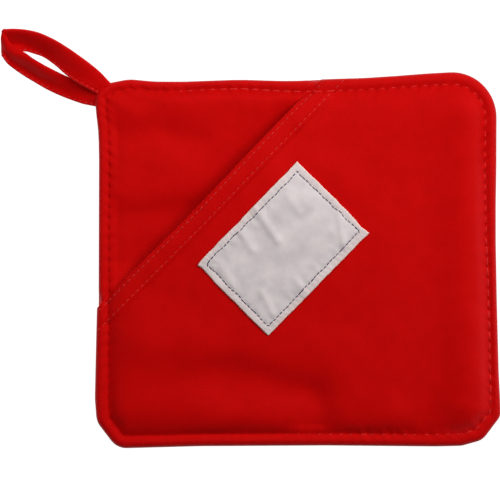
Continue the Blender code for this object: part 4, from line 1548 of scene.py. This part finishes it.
    def stitch_line(self, upper: bool) -> tuple[Array, Array]:
        """Path of the edge stitching on the upper or lower face, and the face's direction along it."""
        width = lengths(self.ribbon[:, -1] - self.ribbon[:, 0])
        share = self.stitch_in / width
        side = 1.0 if upper else -1.0
        column = np.array([np.interp(one, self.shares, np.arange(self.columns)) for one in share])
        low = column.astype(int)
        part = (column - low)[:, None]
        row = np.arange(self.stations)
        normal = self.normals[row, low] * side
        place = self.ribbon[row, low] * (1.0 - part) + self.ribbon[row, low + 1] * part
        return place + normal * (0.5 * self.thickness - self.stitch_dent), normal


def sewn_on(
    seam: Seam,
    surface: Surface,
    line: Array,
    closed: bool = False,
    from_above: bool = True,
    depth: Array | float = 0.0,
    stitches: int = 0,
) -> Object:
    """Sews a row along a line seen from above, on the surface that it meets.

    Args:
        seam: The row's stitches.
        surface: What the thread lies on.
        line: Places (x, y) of the row.
        closed: True if the row meets its own start.
        from_above: False for a row on the underside.
        depth: How deep the thread is drawn into the cloth.
        stitches: Their number, if the pitch doesn't settle it.

    Returns:
        The stitches.
    """
    places, normals, met = surface.drop(line, from_above)
    places -= normals * (depth * np.ones(len(line)))[:, None]
    return seam.sew(places[met], normals[met], closed, stitches)


@dataclass(frozen=True)
class Softbox:
    """A round soft light, aimed at the middle of the view."""

    name: str
    turn: float  # degrees from +X towards +Y
    rise: float  # degrees above the floor
    size: float  # metres across
    away: float  # metres
    power: float  # watts

    def build(self, middle: Vector) -> None:
        """Hangs the light."""
        data = bpy.data.lights.new(self.name, "AREA")
        data.shape, data.size, data.energy = "DISK", self.size, self.power
        light = bpy.data.objects.new(self.name, data)
        bpy.context.scene.collection.objects.link(light)
        turn, rise = math.radians(self.turn), math.radians(self.rise)
        way = Vector((math.cos(turn) * math.cos(rise), math.sin(turn) * math.cos(rise), math.sin(rise)))
        light.location = middle + way * self.away
        light.rotation_mode = "QUATERNION"
        light.rotation_quaternion = way.to_track_quat("Z", "Y")


@dataclass
class Studio:
    """Plain pale floor, soft lights from the right and the upper left, and a camera straight above."""

    lights: tuple[Softbox, ...] = (
        Softbox("key_right", turn=28.0, rise=42.0, size=0.71, away=1.0, power=7.95),
        Softbox("key_upper_left", turn=120.0, rise=58.0, size=0.42, away=0.58, power=1.84),
    )
    view_middle: tuple[float, float] = (-24.4, 6.6)
    view_width: float = 254.5
    view_height_on: float = 4.0  # height above the floor at which the view has that width
    lens: float = 200.0
    sensor: float = 36.0
    fill: float = 0.03
    floor_size: float = 4.0
    floor_drop: float = 0.25

    def build(self) -> None:
        """Makes the floor, the lights and the camera."""
        half = 0.5 * self.floor_size / MM
        middle = np.array([*self.view_middle, -self.floor_drop])
        square = np.array([[-1.0, -1.0, 0.0], [1.0, -1.0, 0.0], [1.0, 1.0, 0.0], [-1.0, 1.0, 0.0]])
        corners = middle + half * square
        floor = new_object("floor", mesh_from("floor", corners, [(0, 1, 2, 3)]))
        floor.data.materials.append(StudioCard().build())
        world = bpy.data.worlds.new("studio")
        world.use_nodes = True
        feed(world.node_tree.nodes["Background"], {"Color": linear("#ffffff"), "Strength": self.fill})
        bpy.context.scene.world = world
        for light in self.lights:
            light.build(Vector((*self.view_middle, 0.0)) * MM)
        self.add_camera()
        bpy.context.scene.view_settings.view_transform = "Standard"

    def add_camera(self) -> None:
        """Adds the camera, looking straight down with +Y up in its picture."""
        data = bpy.data.cameras.new("camera")
        data.lens = self.lens
        data.sensor_width = self.sensor
        data.clip_end = 20.0
        camera = bpy.data.objects.new("camera", data)
        bpy.context.scene.collection.objects.link(camera)
        distance = self.view_width * self.lens / self.sensor
        camera.location = Vector((*self.view_middle, distance + self.view_height_on)) * MM
        bpy.context.scene.camera = camera


def main() -> None:
    logging.basicConfig(level=logging.INFO, format="%(name)s: %(message)s")
    Studio().build()
    square, pocket, patch, loop = QuiltedSquare(), HandPocket(), LabelPatch(), HangingLoop()
    rays = Rays(OUTLINE, square.columns)
    quilted = square.build(rays)
    panel = pocket.build(Rays(OUTLINE, pocket.columns))
    pocket_face, faces = Surface(panel), Surface(quilted, panel)
    label = patch.build(pocket_face)
    strap = loop.build()

    red, navy = Finish.RED_THREAD, Finish.NAVY_THREAD
    run = {"closed": True, "depth": QUILT.beside(rays.seam, 4), "stitches": rays.stitches}
    edge_front, edge_back = (
        sewn_on(
            Seam(f"edge_topstitch_{side}", QUILT.stitch_pitch, 0.5, red, seed=seed),
            faces,
            rays.seam,
            from_above=side == "front",
            **run,
        )
        for side, seed in (("front", 3), ("back", 4))
    )
    hems = [
        sewn_on(
            Seam(f"hem_stitch_{name}", pocket.stitch_pitch, 0.48, red, seed=seed),
            pocket_face,
            pocket.hem_line(into),
        )
        for name, seed, into in zip(("outer", "inner"), (5, 6), pocket.stitch_rows)
    ]
    border = sewn_on(
        Seam("patch_border_stitch", patch.stitch_pitch, 0.48, navy, shown=1.12, rise=0.2, seed=8),
        Surface(label),
        patch.border_line(),
        closed=True,
    )
    strap_seams = [
        Seam(f"loop_stitch_{name}", loop.stitch_pitch, 0.45, red, seed=seed).sew(*loop.stitch_line(upper))
        for name, seed, upper in (("upper", 9, True), ("lower", 10, False))
    ]

    for obj in (quilted, panel, label, strap, edge_front, edge_back, *hems, border, *strap_seams):
        report(obj)


if __name__ == "__main__":
    main()
